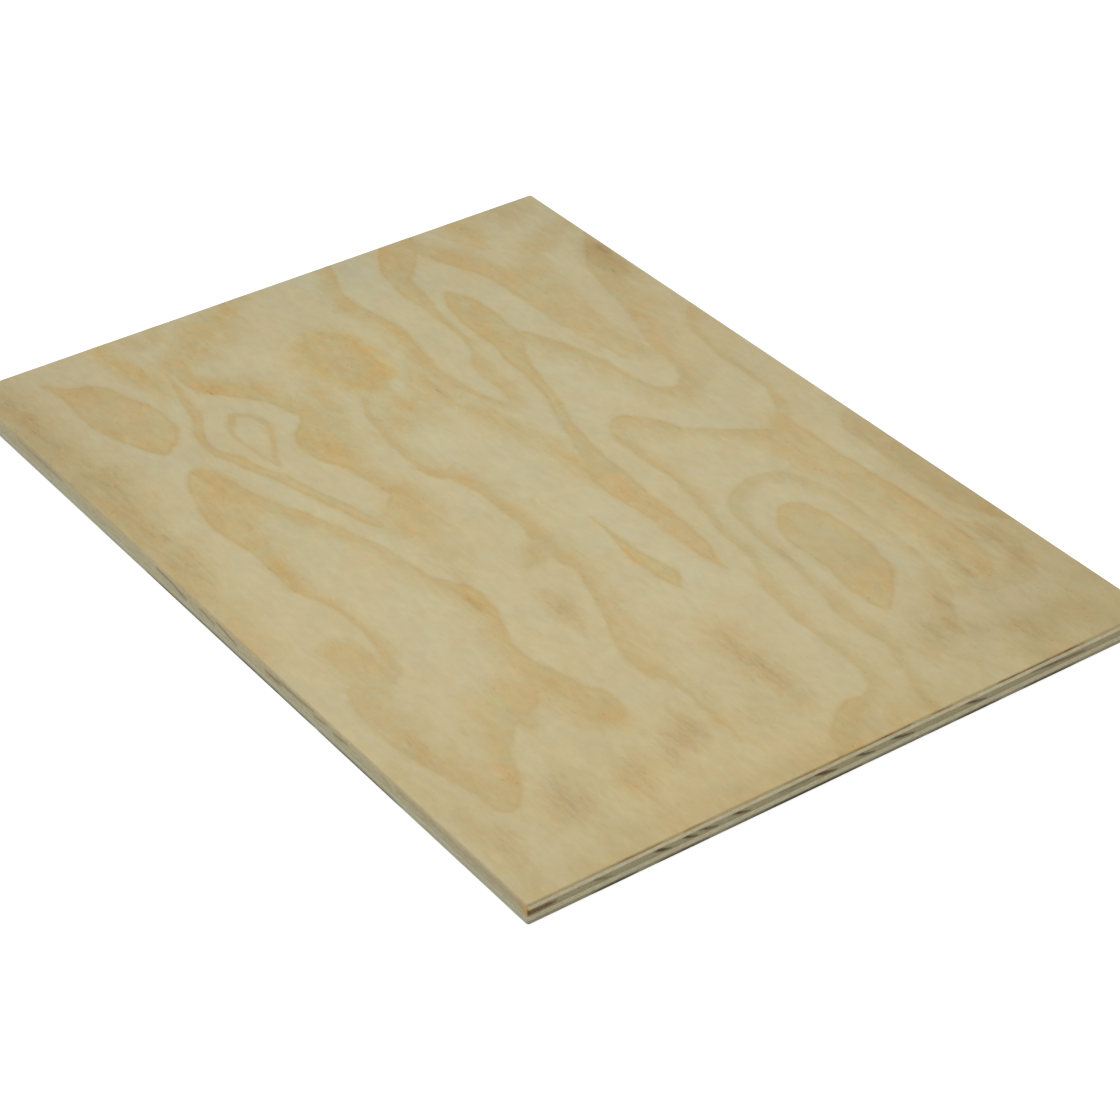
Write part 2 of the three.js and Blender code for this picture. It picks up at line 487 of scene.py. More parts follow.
# %% Bands at the near left
FACE_BANDS |= {
    "near west ring, left arm": dict(
        soft=8, tone=1.15,
        path=[(-211, -14, 3), (-203, -24, 5.5), (-196, -35, 9.5), (-189.5, -43, 10),
              (-182, -52, 8), (-176.5, -60, 7), (-169, -66, 5)],
    ),
    "near west ring": dict(
        crisp="right", soft=5.5, tone=1,
        path=[(-179, -65, 3), (-174, -67, 4), (-166, -67.5, 4), (-157, -66.5, 4.4),
              (-150, -62.5, 6), (-144, -56, 6), (-136, -49.5, 6), (-127, -45.7, 5),
              (-117, -42, 5), (-107, -38.5, 6.2), (-97, -40.5, 9), (-88, -44, 12.5),
              (-80, -45.8, 11.6), (-71, -45.5, 8), (-61, -45.3, 4), (-50, -44.5, 3.2),
              (-40, -42.7, 4), (-31, -41.5, 6), (-22, -44.7, 9.2), (-13, -47, 9.4),
              (-4, -48, 6.6)],
    ),
    "near west fill": dict(
        soft=6, tone=0.75, path=[(-23, -53, 5), (-14, -52, 8), (-4, -50, 6.4), (3, -48, 2)],
    ),
    "near west trail": dict(
        soft=6, tone=0.45, path=[(3, -52, 2.5), (14, -53, 3.4), (24, -54.5, 3.4), (33, -58, 2)],
    ),
    "near west branch": dict(
        soft=4, tone=0.9,
        path=[(-127, -27.5, 1.4), (-120, -27.5, 3), (-111, -29, 4.2), (-101, -32, 5.5), (-91, -36, 5.5)],
    ),
    "small loop": dict(
        crisp="both", soft=1.3, tone=0.75, closed=True,
        path=[(-126, -66, 1.6), (-122.5, -62.5, 1.6), (-116, -59.3, 1.4), (-108, -58.8, 1.2),
              (-101, -61.5, 1.2), (-94, -65.5, 1.2), (-87, -69.3, 1.2), (-80, -71.3, 0.8),
              (-90, -73, 0.9), (-100, -74, 1.1), (-108, -74.8, 1.3), (-115, -73.3, 1.5),
              (-121, -70, 1.6)],
    ),
    "under the loop": dict(
        crisp="both", soft=3, tone=0.85,
        path=[(-163, -75, 0.8), (-152, -76.8, 1.4), (-142, -77.6, 1.8), (-134, -79.6, 2.2),
              (-125, -84.3, 2.2), (-114, -88, 2), (-104, -87.6, 2.2), (-95, -83.5, 2.8),
              (-84, -80.7, 2.8), (-75, -77.3, 2.6), (-64, -74, 2.8), (-52, -70.8, 2.8),
              (-40, -67.3, 2.7), (-28, -64, 2.6), (-18, -61, 2.2)],
    ),
    "near west line": dict(
        soft=4.5, tone=1.2,
        path=[(-213, -85.5, 5), (-200, -85, 5), (-186, -83.8, 4.4), (-174, -81.7, 4.8),
              (-163, -81.2, 4.2), (-153, -82, 1)],
    ),
    "near west wedge": dict(
        soft=4, tone=1.1,
        path=[(-178, -67, 3), (-171, -73, 3), (-164, -75.5, 1.5)],
    ),
    "west hook": dict(
        soft=4, tone=0.8,
        path=[(-213, -58, 2.5), (-204, -60, 3.5), (-198, -65, 3.5), (-201, -71, 3),
              (-212, -74, 2)],
    ),
    "near west island": dict(
        crisp="both", soft=3, tone=0.85, hollow=0.15,
        path=[(-194, -120.8, 0.8), (-187, -118, 2.5), (-181, -114.5, 5), (-173, -109, 10.4),
              (-163, -107.8, 12), (-153, -106.3, 13.4), (-143, -104, 13.8), (-133, -102.6, 11.8),
              (-125.5, -103.6, 8), (-120, -104.3, 4), (-116, -104, 0.8)],
    ),
    "near island": dict(
        crisp="right", soft=4, tone=0.95, hollow=0.1,
        path=[(-96, -101.7, 2.5), (-91, -102.2, 6.6), (-84, -102.7, 9.4), (-74, -103.3, 10.6),
              (-62, -105.7, 11), (-52, -108, 9), (-42, -110, 6), (-32, -109.7, 4.8),
              (-20, -110, 4), (-8, -110.7, 3.4), (2, -111.3, 3), (10, -109.7, 2), (18, -107.2, 1.6),
              (28, -105.6, 1.6), (40, -105.3, 1.7), (52, -106.7, 1.9), (61, -109, 2.4)],
    ),
}
print(len(FACE_BANDS), "bands so far")

# %% [markdown]
# A long arch leads from there to the right, and under it a blunt point turns back along the
# near edge.

# %% Bands at the near right
FACE_BANDS |= {
    "near arch": dict(
        crisp="left", soft=6, tone=0.88,
        path=[(-82, -97, 4), (-68, -94.8, 4), (-55, -91.2, 4), (-43, -86, 3.6), (-31, -80.8, 3.6),
              (-19, -75.8, 3.2), (-7, -71.3, 2.6), (5, -69.3, 1.8), (18, -68.2, 1.6),
              (28, -65.5, 2.4), (37, -61.7, 4.2), (46, -60.5, 5), (56, -61, 4.8), (66, -64, 4),
              (76, -67, 3.8), (87, -69, 4.6), (98, -69.5, 5.6), (109, -68, 7.2),
              (121, -65, 7), (131, -62.5, 8.8), (138, -62, 9), (141.5, -57.5, 3)],
    ),
    "near point": dict(
        crisp="left", soft=6, tone=0.72,
        path=[(107, -74, 5), (108.5, -80, 6), (109.5, -87, 11.6), (114.5, -93, 10.5),
              (121, -99, 6.8), (130, -105, 4.6), (140, -109.7, 4), (149.5, -114, 4),
              (158, -119, 4.4), (161.5, -122.5, 4.2), (157.5, -124.5, 4.4), (149, -124.5, 4.8),
              (138, -125.8, 4.9), (124, -128.7, 5.8), (110, -130.8, 6), (96, -132.3, 6),
              (84, -131, 6.8), (74, -127, 8.4)],
    ),
    "near point, left end": dict(
        soft=4, tone=0.8,
        path=[(84, -130, 6), (74, -125, 8.6), (65, -121.5, 10), (56, -121, 9), (48, -121, 7.4),
              (42, -121, 3.6)],
    ),
    "near nub": dict(
        soft=3, tone=1.0, path=[(118, -87, 4), (126, -88.5, 2.6), (132, -89, 1.2)],
    ),
    "near hook": dict(
        crisp="left", soft=4, tone=0.55,
        path=[(52, -107, 1.8), (60, -109.3, 3), (67, -112, 5), (70, -117, 6)],
    ),
}
print(len(FACE_BANDS), "bands so far")

# %% [markdown]
# At the far right two rings run round an oval, with a thick band beyond them.

# %% The oval and the bands round it
FACE_BANDS |= {
    "oval ring, far side": dict(
        crisp="right", soft=3.4, tone=0.52,
        path=[(178, 79, 2), (170, 79.5, 3.8), (163, 82, 5.2), (157, 87, 5.2), (150, 92.5, 4.4),
              (143, 96.5, 3.2), (134, 98.9, 2), (122, 100.2, 1.6), (108, 100.7, 1.6),
              (92, 100.8, 1.7), (76, 100.5, 2),
              (62, 98, 2.5), (52, 92.7, 3.2), (47, 84, 3.4), (48, 74, 3.6),
              (53.5, 66.3, 3.4), (62, 61.3, 3), (74, 58.5, 2), (88, 57.5, 1.6), (102, 56.8, 1.4)],
    ),
    "oval ring, near side": dict(
        crisp="right", soft=3, tone=0.58,
        path=[(62, 61.3, 2.2), (74, 58.5, 1.8), (88, 57.2, 1.5), (102, 56.2, 1.5), (112, 55, 1.7),
              (122, 54, 2.6), (132, 52.8, 3.4), (142, 52.3, 4), (152, 52.5, 3.9), (162, 53, 3.6),
              (171, 52.3, 3), (178, 49.5, 2.6), (190, 44.8, 2.6), (202, 41, 2.6),
              (213, 38.5, 2.8)],
    ),
    "heart of the oval": dict(
        crisp="both", soft=3, tone=0.75, hollow=0.35,
        path=[(75, 80.5, 7.4), (80, 79.3, 10), (88, 78, 12.4), (98, 77.6, 13), (108, 77.2, 12.8),
              (116, 76.5, 12), (123, 75.5, 12.4), (129, 73, 10.2), (136, 70.5, 7.8),
              (142, 68, 5), (149.5, 66.8, 1)],
    ),
    "long ring, crisp start": dict(
        crisp="right", soft=10, tone=0.8,
        path=[(25, 110, 5), (19, 102.5, 4.4), (14, 96, 4.4), (8.5, 89.5, 4.4), (3, 83.5, 4.4),
              (-3, 78.3, 4.6), (-11, 73.8, 4.8), (-18, 70, 4.6)],
    ),
    "long ring round the oval": dict(
        crisp="right", soft=4.5, tone=0.7,
        path=[(-12, 72.5, 4), (-18.5, 68.8, 4.4), (-22.5, 65.2, 4), (-19.5, 61, 4.4), (-12, 58, 4),
              (-2, 56.5, 3), (10, 56, 2.8), (26, 56.7, 2.4), (40, 55, 2.4), (54, 52, 2.6), (68, 49, 2.4),
              (82, 47.7, 2.4), (94, 45, 2.8), (106, 41, 3.2), (118, 37.5, 2.8), (130, 36, 2.4),
              (144, 35.5, 2.2), (158, 34.8, 2.2), (170, 34, 2.4), (180, 32.5, 2.8), (187, 28, 3),
              (190, 20, 3.8), (190.5, 13, 5), (196.5, 7.5, 6), (205, 1, 7), (214, -4, 7)],
    ),
    "small streak": dict(
        crisp="both", soft=2.5, tone=1.15,
        path=[(28, 11, 0.4), (38, 10.8, 1), (48, 10.2, 1.8), (56, 9.5, 2.8), (64, 9.5, 3.2),
              (72, 10.8, 3.6), (80, 11.7, 3.8), (86, 11.2, 2), (89, 11, 0.6)],
    ),
    "far band": dict(
        crisp="left", soft=7, tone=0.85,
        path=[(15, 120, 3.6), (23, 114.5, 7.6), (34, 112.3, 10.5), (46, 112.5, 10.3),
              (58, 114.7, 9), (70, 116.5, 8), (84, 117.8, 7.4), (98, 117.8, 7.8),
              (112, 117.3, 8.2), (124, 116.7, 9), (136, 115.5, 9), (147, 112.3, 8.6),
              (156, 109, 6.2)],
    ),
    "far band loop": dict(
        crisp="left", soft=4.5, tone=0.33,
        path=[(118, 127.5, 1.5), (126, 131, 3.5), (134, 134.5, 4), (143, 135.5, 4),
              (151, 131.5, 5), (159.5, 125, 8), (160, 117, 7), (158, 109, 6.5), (155, 105.5, 3)],
    ),
    "far band fill": dict(soft=6, tone=0.3, path=[(138, 119, 5), (148, 121, 6)]),
}
print(len(FACE_BANDS), "bands so far")

# %% [markdown]
# The rest is faint. Wide soft bands along the right edge and in the corners stand for latewood
# that lies just under the surface and shines through it.

# %% Faint bands
FACE_BANDS |= {
    "far east band": dict(
        crisp="right", soft=5, tone=0.47,
        path=[(30, 145, 3), (38, 142.5, 5.4), (52, 142, 5.6), (70, 142, 5.6), (88, 141.3, 6),
              (102, 141.7, 6.2), (112, 143.3, 5.4), (120, 145.5, 4.2), (127, 148, 3)],
    ),
    "east zone": dict(
        soft=6, tone=0.34,
        path=[(206, 142, 8), (197, 132, 9), (190.5, 122, 8), (188.5, 112, 7.5), (190, 104, 7),
              (200, 101, 6), (211, 97, 6)],
    ),
    "east zone, leg": dict(
        soft=5, tone=0.35, path=[(189, 104, 5), (186, 95, 4.5), (183, 88, 4), (177, 82, 3)],
    ),
    "east corner": dict(
        soft=8, tone=0.3, path=[(180, 148, 6), (196, 150, 6), (208, 136, 9)],
    ),
    "east strip": dict(
        soft=8, tone=0.26,
        path=[(206, 34, 5), (204, 10, 6), (206, -15, 6), (208, -50, 4), (209, -80, 3),
              (208, -122, 5)],
    ),
    "east curve": dict(
        soft=4, tone=0.2, path=[(186.5, -46, 2), (189, -56, 2.6), (194, -67, 2.4), (203, -79, 2)],
    ),
    "near edge haze": dict(
        soft=8, tone=0.66,
        path=[(-213, -147, 7), (-190, -143, 7), (-168, -142, 6.5), (-148, -140, 7),
              (-130, -137, 9), (-115, -134, 11), (-100, -138, 10), (-70, -140, 9.5),
              (-50, -140, 9.5), (-30, -141.5, 9), (-12, -143.5, 7.5), (4, -145.5, 5.5),
              (18, -147, 4), (30, -149, 2.5)],
    ),
    "near east haze": dict(
        soft=8, tone=0.5,
        path=[(120, -147, 3), (140, -145, 4), (160, -142, 4.6), (176, -138, 5.6), (190, -140, 5),
              (205, -143, 5)],
    ),
    "east smudge": dict(
        soft=8, tone=0.75,
        path=[(116, 3, 2), (130, 2.5, 5), (148, 3, 6.5), (164, 2, 5), (176, -1, 2)],
    ),
    "east mid patch": dict(
        soft=7, tone=0.4, path=[(164, -10, 2), (171, -15, 4), (178, -21, 3)],
    ),
    "east near smudge": dict(
        soft=5, tone=0.65,
        path=[(152, -39, 1.5), (159, -42.5, 4.5), (166, -47, 6), (171, -54, 3.4), (179, -60, 1.4)],
    ),
    "east near patch": dict(
        soft=7, tone=0.9,
        path=[(167, -71, 2.5), (174, -75.5, 5.5), (181, -80, 3)],
    ),
    "east near haze": dict(
        soft=10, tone=0.5,
        path=[(163, -97, 3), (170, -104, 7), (177, -112, 5)],
    ),
    "oval shadow": dict(
        soft=7, tone=0.4, path=[(164, 79, 3), (171, 74, 5), (178, 69, 5), (180, 63, 3)],
    ),
    "olive spot": dict(
        soft=4, tone=0.6,
        path=[(60, -37, 1.2), (67, -34.5, 3.2), (75, -35.5, 4.2), (82, -37.5, 3.6), (91, -38, 1)],
    ),
}
print(len(FACE_BANDS), "bands")

# %% [markdown]
# ## Spots on the face
#
# Not everything on the wood follows a ring. A **spot** is a soft ellipse with a ragged rim: its
# middle, its half length along the grain and its half width, in millimetres, and its strength.
# Warm spots make the bands that they lie on more orange. Pale spots take latewood away, where
# a sliver of it has come off. Stains are resin-soaked wood, near a knot or in the middle of a
# ring. Aged spots are wide zones, most of them along the borders, that brown and darken the
# wood: partly browning, and partly painted shade where the light falls off towards the borders.
#
# Tints shift the colour of wide zones by a few percent. Each kind has a gain, which is what one
# full coat of it does to red, green and blue, and the spots where it lies. Two kinds are painted
# shade: a grey one over the left end and the near left corner, and a neutral grey veil along the
# far edge and on a few patches. Without the tints the panel would have one colour from end to
# end, which real veneer never has.

# %% Spots of the face
WARM_SPOTS = [
    (-172, 23, 16, 5, 0.35), (-140, 28, 12, 4, 0.35), (-205, 62, 12, 10, 0.2),
    (-204, 105, 10, 6, 0.3), (18, 34, 22, 6, 0.3), (-116, -3, 10, 9, 0.4), (-37, -22, 8, 4, 0.4),
    (-148, -61, 9, 10, 0.6), (-84, -50, 18, 9, 0.35), (-66, -45, 8, 5, 0.3), (-88, -79, 10, 3, 0.4),
    (-124, -104, 9, 9, 0.6), (-144, -112.5, 9, 4.5, 0.5), (-80, -100, 16, 9, 0.4),
    (-10, -111, 14, 3, 0.3), (50, -61, 16, 5, 0.7), (140, -64, 6, 6, 0.2), (108, -87, 8, 8, 0.45),
    (136, -106, 14, 4, 0.3), (127, 75, 15, 11, 0.5), (140, 68, 14, 5, 0.3), (76, 76, 12, 8, 0.3),
    (-150, 102, 20, 6, 0.2), (-190, 84, 14, 5, 0.25), (205, -128, 10, 8, 0.4),
    (207, -20, 8, 16, 0.3), (207, -80, 6, 8, 0.3), (142, 108, 12, 3, 0.3), (-88, 124, 18, 5, 0.35),
    (118, 145, 12, 5, 0.4), (80, 12, 10, 4, 0.25), (-110, -132, 14, 8, 0.4),
    (-60, -136, 30, 6, 0.25), (38, 104, 14, 5, 0.25), (-90, 44, 12, 4, 0.25),
    (-20, -110, 10, 3, 0.4), (117, -130, 8, 4, 0.5), (148, -113, 10, 5, 0.5), (121, 144, 8, 4, 0.5),
    (-122, -68, 6, 6, 0.3),
]
PALE_SPOTS = [
    (55, 34.7, 9, 1.2, 1.8), (-104, 3, 7, 3.2, 2.4), (-6, -112.5, 8, 0.8, 1.6),
    (133, 123.5, 6, 1.2, 1.2), (-29, 47.5, 10, 2, 1.2), (12, 109, 7, 2, 0.8),
    (-179, 94.5, 6, 1.6, 0.6), (144, 126.5, 6, 2.6, 1.6), (47, -110.5, 11, 2.2, 1.4),
    (-86, -24, 12, 1.6, 1.5), (-105, -20, 12, 3, 1.0), (58, -132, 7, 0.8, 1.5),
]
STAINS = [
    (-149, 145, 6, 2.6, 0.35), (-138, 142, 10, 5, 0.1), (52, -62, 14, 3, 0.2),
    (76, -36, 16, 5, 0.15), (163, -41, 14, 3.5, 0.2), (167, -49, 12, 5, 0.18),
    (172, -57, 14, 4, 0.17), (174, -76, 13, 7, 0.16), (172, -104, 20, 10, 0.16),
    (148, 3, 30, 6, 0.2), (158, 87, 9, 4, 0.2), (171, 79, 9, 3.5, 0.13), (143, 107.5, 14, 2.5, 0.2),
    (-202, 130, 12, 12, 0.1), (116, -131, 12, 4, 0.15), (134, 131, 16, 6, 0.14),
    (155, 129, 8, 5, 0.1), (192, 102, 10, 5, 0.1), (98, 57, 12, 1.6, 0.25),
    (-88, 15.5, 14, 1.6, 0.2), (-178, -87, 14, 1.4, 0.2), (178, -136, 12, 6, 0.15),
    (100, 124.7, 14, 1, 0.2), (-110, -132, 14, 8, 0.1), (-168, -140, 30, 3.5, 0.15),
    (-50, -137, 34, 6, 0.13), (170, 70, 10, 8, 0.12), (170, -20, 10, 5, 0.1),
]
# Aged zones brown and darken the wood, most of them along the borders: partly browning, partly painted
# shade where the light falls off.
AGED_AND_SHADED = [
    (195, 135, 70, 50, 0.8), (205, 60, 40, 80, 0.45), (206, -60, 20, 110, 0.5),
    (-150, -146, 120, 22, 0.75), (-20, -146, 90, 16, 0.4), (130, -130, 80, 24, 0.3),
    (-195, -125, 40, 40, 0.3), (-120, 140, 90, 20, 0.35), (150, -70, 50, 50, 0.25),
    (110, 150, 110, 26, 0.75), (95, 128, 70, 30, 0.2), (165, 90, 40, 40, 0.4),
    (-140, 140, 22, 9, 0.9), (-150, 145, 10, 4, 0.8), (-110, -70, 50, 30, 0.12),
    (-148, -64, 10, 9, 0.3), (-144, -112, 10, 5, 0.35),
]
TINTS = {
    "grey_painted_shade": dict(  # painted shade, a little grey: darker towards the left end and the near left corner
        gain=(0.935, 0.95, 0.98),
        spots=[
            (-215, 0, 60, 180, 1.0), (-160, -150, 110, 60, 0.9),
        ],
    ),
    "warm": dict(  # a thicker film of resin
        gain=(1.01, 0.985, 0.93),
        spots=[
            (214, 0, 40, 200, 1.6), (95, -146, 24, 5, 1.2), (160, -80, 60, 60, 0.5),
        ],
    ),
    "cool": dict(  # fresh, slightly green wood
        gain=(1.0, 1.02, 1.04),
        spots=[
            (-110, 25, 150, 60, 1.7), (-160, -60, 60, 40, 0.5),
        ],
    ),
    "painted_shade_veil": dict(  # painted shade: a thin grey veil along the far edge and on a few patches
        gain=(0.95, 0.95, 0.95),
        spots=[
            (-60, 150, 240, 30, 0.6), (-130, -97, 80, 22, 0.3), (122, 86, 26, 16, 1.3),
            (132, 111, 20, 5, 1.1), (178, -94, 26, 10, 0.7), (164, 3, 24, 12, 1.0),
            (170, 146, 30, 4, 0.6), (-66, 106, 20, 6, 0.5), (-180, 142, 70, 18, 0.3),
            (-60, -95, 60, 10, 0.3),
        ],
    ),
    "pale": dict(  # sanded a little deeper, down to bright wood
        gain=(1.05, 1.07, 1.12),
        spots=[
            (50, -90, 70, 24, 0.15), (70, 12, 70, 24, 0.3), (-60, -2, 26, 14, 0.3),
            (-125, 84, 40, 10, 0.25), (-120, -97, 10, 12, 0.3), (-40, -55, 30, 5, 0.3),
            (-60, 70, 60, 14, 0.25), (10, 85, 30, 18, 0.25), (172, 115, 8, 22, 0.5),
            (192, 55, 16, 20, 0.2), (177, 110, 8, 8, 1.0), (-178, -146, 14, 4, 1.0),
            (84, 146, 12, 4, 0.8), (0, -94, 16, 4, 0.5), (78, -125, 10, 4, 0.6),
        ],
    ),
    "ruddy": dict(  # reddish brown, as round a knot
        gain=(1.0, 0.962, 0.92),
        spots=[
            (-123, -105, 8, 8, 0.9), (-144, -113, 9, 4, 0.6), (-148, -61, 9, 11, 0.9),
            (-121, -68, 6, 7, 0.6), (-175, -109, 12, 9, 0.3), (-138, 142, 15, 6, 1.2),
            (122, 144, 10, 4, 0.9), (128, 76, 16, 10, 0.8), (156, 85, 10, 5, 0.8),
            (98, -84, 12, 7, 0.7), (-159, -75, 9, 4, 1.0), (-110, -132, 16, 9, 0.7),
            (50, -62, 16, 5, 0.8), (-114, -6, 10, 8, 0.5), (-153, -3, 7, 8, 0.4),
            (-85, -80, 12, 4, 0.6), (-84, -50, 16, 8, 0.3), (148, -113, 12, 5, 0.7),
            (117, -130, 9, 4, 0.5), (170, 79, 10, 4, 0.5), (145, 107, 14, 4, 0.5),
            (140, 133, 16, 4, 0.4), (192, 102, 16, 5, 0.4), (-35, -22, 8, 4, 0.5),
            (208, -125, 6, 20, 0.5), (-160, -140, 34, 4, 0.5), (37, 105, 10, 4, 0.5),
            (132, 2, 8, 4, 0.5), (-88, 124, 18, 4, 0.4), (-100, -40, 14, 5, 0.3),
            (-10, -111, 12, 3, 0.4),
        ],
    ),
}
spot_lists = [WARM_SPOTS, PALE_SPOTS, STAINS, AGED_AND_SHADED] + [tint["spots"] for tint in TINTS.values()]
print(sum(len(spots) for spots in spot_lists), "spots in", len(spot_lists), "lists")

# %% [markdown]
# ## Reading the figure at a point
#
# `read_figure` goes through the bands for many points at once. The points are first shifted a
# little by soft noise that is long along the grain, which gives the boundaries the small
# wander of real wood. Where bands overlap, the deepest one sets the depth, and the tones are
# averaged by how strongly each band is there.

# %% Read the figure
NO_LATEWOOD, DEEPEST = -4.0, 3.0  # the range of depths that is kept
WANDER_X = [(1.2, 22, 9, 3), (0.5, 8, 4, 6)]  # each is (amount, length, width, seed), in mm
WANDER_Y = [(0.8, 18, 6, 4), (0.4, 6, 2.5, 5)]


def in_spots(x, y, spots, ragged=0.3):
    """How strongly each place lies in the spots: each is a soft ellipse with a ragged rim."""
    strength = np.zeros(x.shape)
    rim = ragged * (soft_noise(x / 6, y / 1.6, 21) + 0.6 * soft_noise(x / 2.5, y, 22))
    for middle_x, middle_y, half_length, half_width, amount in spots:
        away = np.hypot((x - middle_x) / half_length, (y - middle_y) / half_width) + rim
        strength = strength + amount * (1 - smooth_step(away / 1.3))
    return strength


def read_figure(x, y, bands):
    """Depth, tone and crispness of the latewood at each place, in millimetres on the face."""
    x_off, y_off = x, y
    for amount, length, width, seed in WANDER_X:
        x_off = x_off + amount * soft_noise(x / length, y / width, seed)
    for amount, length, width, seed in WANDER_Y:
        y_off = y_off + amount * soft_noise(x / length, y / width, seed)
    depth = np.full(x.shape, NO_LATEWOOD)
    crispness = np.zeros(x.shape)
    tones, weights = np.zeros(x.shape), np.full(x.shape, 1e-9)
    for band in bands.values():
        points = np.array(band["path"])
        margin = 4.5 * band.get("soft", 4.0) + points[:, 2].max()
        near = (x_off > points[:, 0].min() - margin) & (x_off < points[:, 0].max() + margin)
        near &= (y_off > points[:, 1].min() - margin) & (y_off < points[:, 1].max() + margin)
        settings = {key: band[key] for key in ("closed", "crisp", "soft") if key in band}
        here, crisp, inside_mm = depth_in_band(x_off[near], y_off[near], points, **settings)
        tone = band["tone"] * (1 - band.get("hollow", 0) * smooth_step((inside_mm - 3) / 7))
        weight = np.exp(3 * np.minimum(here, 1.0))
        deeper = here > depth[near]
        crispness[near] = np.where(deeper, crisp, crispness[near])
        depth[near] = np.where(deeper, here, depth[near])
        tones[near] += tone * weight
        weights[near] += weight
    return np.clip(depth, NO_LATEWOOD, DEEPEST), tones / weights, crispness


sample_x, sample_y = np.meshgrid(np.arange(-205, 206, 10.0), np.arange(-145, 146, 10.0))
sample_depth, _, _ = read_figure(sample_x, sample_y, FACE_BANDS)
print(f"latewood covers {100 * (sample_depth > 0).mean():.0f}% of the face")

# %% [markdown]
# ## What the saw opened
#
# A sawn edge shows the same rings from the side. Where the saw crosses the fibres, latewood is
# a row of dark slanted strokes in the thickness of the veneer. Where it runs along them, it is
# a long wavy line. These marks are bands too, and each point of one is (along the edge, height,
# half width) in millimetres. The two edges at the back have marks of the same kinds, placed by
# a seeded generator.
#
# The near right corner is soaked with resin, which turns the cut ends orange-brown. Spots on
# the two edges that meet there carry it, as spots do on the face.

# %% Two kinds of mark


def stroke(start, end, half, tone, top=6.15, bottom=4.4):
    """A slanted stroke of latewood through the core, from its top down to its bottom."""
    middle = (start + end) / 2
    path = [(start, top, 0.1), (start + 0.25 * (end - start), top - 0.25, half)]
    path += [(middle, (top + bottom) / 2, half), (end, bottom, 0.1)]
    return dict(soft=0.45, tone=tone, path=path)


def stretch(start, end, height, half, tone):
    """A level stretch of latewood in the face or the back veneer, thin at both ends. Low in the back
    veneer it is also painted shade under the panel.
    """
    quarter = (end - start) / 4
    path = [(start, height, 0.05), (start + quarter, height, half)]
    path += [(end - quarter, height, half), (end, height, 0.05)]
    return dict(soft=0.5, tone=tone, path=path)


print("a stroke has", len(stroke(0, 8, 0.4, 1)["path"]), "points")

# %% Marks on the right edge, across the fibres of the core
# Stretches low in the back veneer draw a dark line along the bottom of an edge: partly latewood, partly
# painted shade under the panel.
IN_FACE, IN_BACK_SHADED = 9.15, 0.55  # heights of the stretches in the two outer veneers
RIGHT_EDGE = [
    dict(
        soft=0.8, tone=0.8,
        path=[(-150, 5.4, 0.9), (-144, 5.3, 0.85), (-139.5, 5.2, 0.6), (-136.5, 5.1, 0.1)],
    ),
    stroke(-120, -112, 0.4, 0.5),
    stroke(-93, -85.5, 0.5, 0.95),
    stroke(-80, -74, 0.42, 0.95),
    stroke(-73, -65, 0.35, 0.9),
    stroke(-57.5, -50, 0.42, 0.9),
    dict(soft=0.8, tone=0.4, path=[(-36, 6.0, 0.1), (-29, 5.9, 0.4), (-22, 5.9, 0.3)]),
    stroke(-20, -9.5, 0.6, 0.9),
    stroke(0, 8.5, 0.45, 0.85),
    stroke(17, 28, 0.5, 0.85),
    stroke(53.5, 63.5, 0.42, 0.9),
    dict(
        soft=0.5, tone=0.75,
        path=[(87, 6.4, 0.1), (92, 6.2, 0.35), (97, 5.8, 0.4), (105, 5.3, 0.25), (114, 4.8, 0.1)],
    ),
    stretch(-149, -138, IN_FACE, 0.15, 0.6),
    stretch(-113, -90, IN_FACE, 0.25, 1.0),
    stretch(-80, -69, IN_FACE, 0.2, 0.8),
    stretch(-34, -2, IN_FACE, 0.22, 0.95),
    stretch(-3, 27, IN_FACE, 0.28, 1.35),
    stretch(37, 46.5, IN_FACE, 0.28, 1.2),
    stretch(69, 82, IN_FACE, 0.32, 1.5),
    stretch(81, 97, IN_FACE, 0.32, 1.6),
    stretch(96, 113, IN_FACE, 0.28, 1.4),
    stretch(-121, -101, IN_BACK_SHADED, 0.35, 1.0),
    stretch(-92, -68, IN_BACK_SHADED, 0.3, 0.9),
    stretch(-61, -48, IN_BACK_SHADED, 0.25, 0.6),
    stretch(-49, 3, IN_BACK_SHADED, 0.35, 1.1),
    stretch(6, 33, IN_BACK_SHADED, 0.25, 0.5),
    stretch(35, 47, IN_BACK_SHADED, 0.3, 0.7),
    stretch(49, 71, IN_BACK_SHADED, 0.35, 1.0),
    stretch(83, 109, IN_BACK_SHADED, 0.35, 1.0),
]
print(len(RIGHT_EDGE), "marks on the right edge")

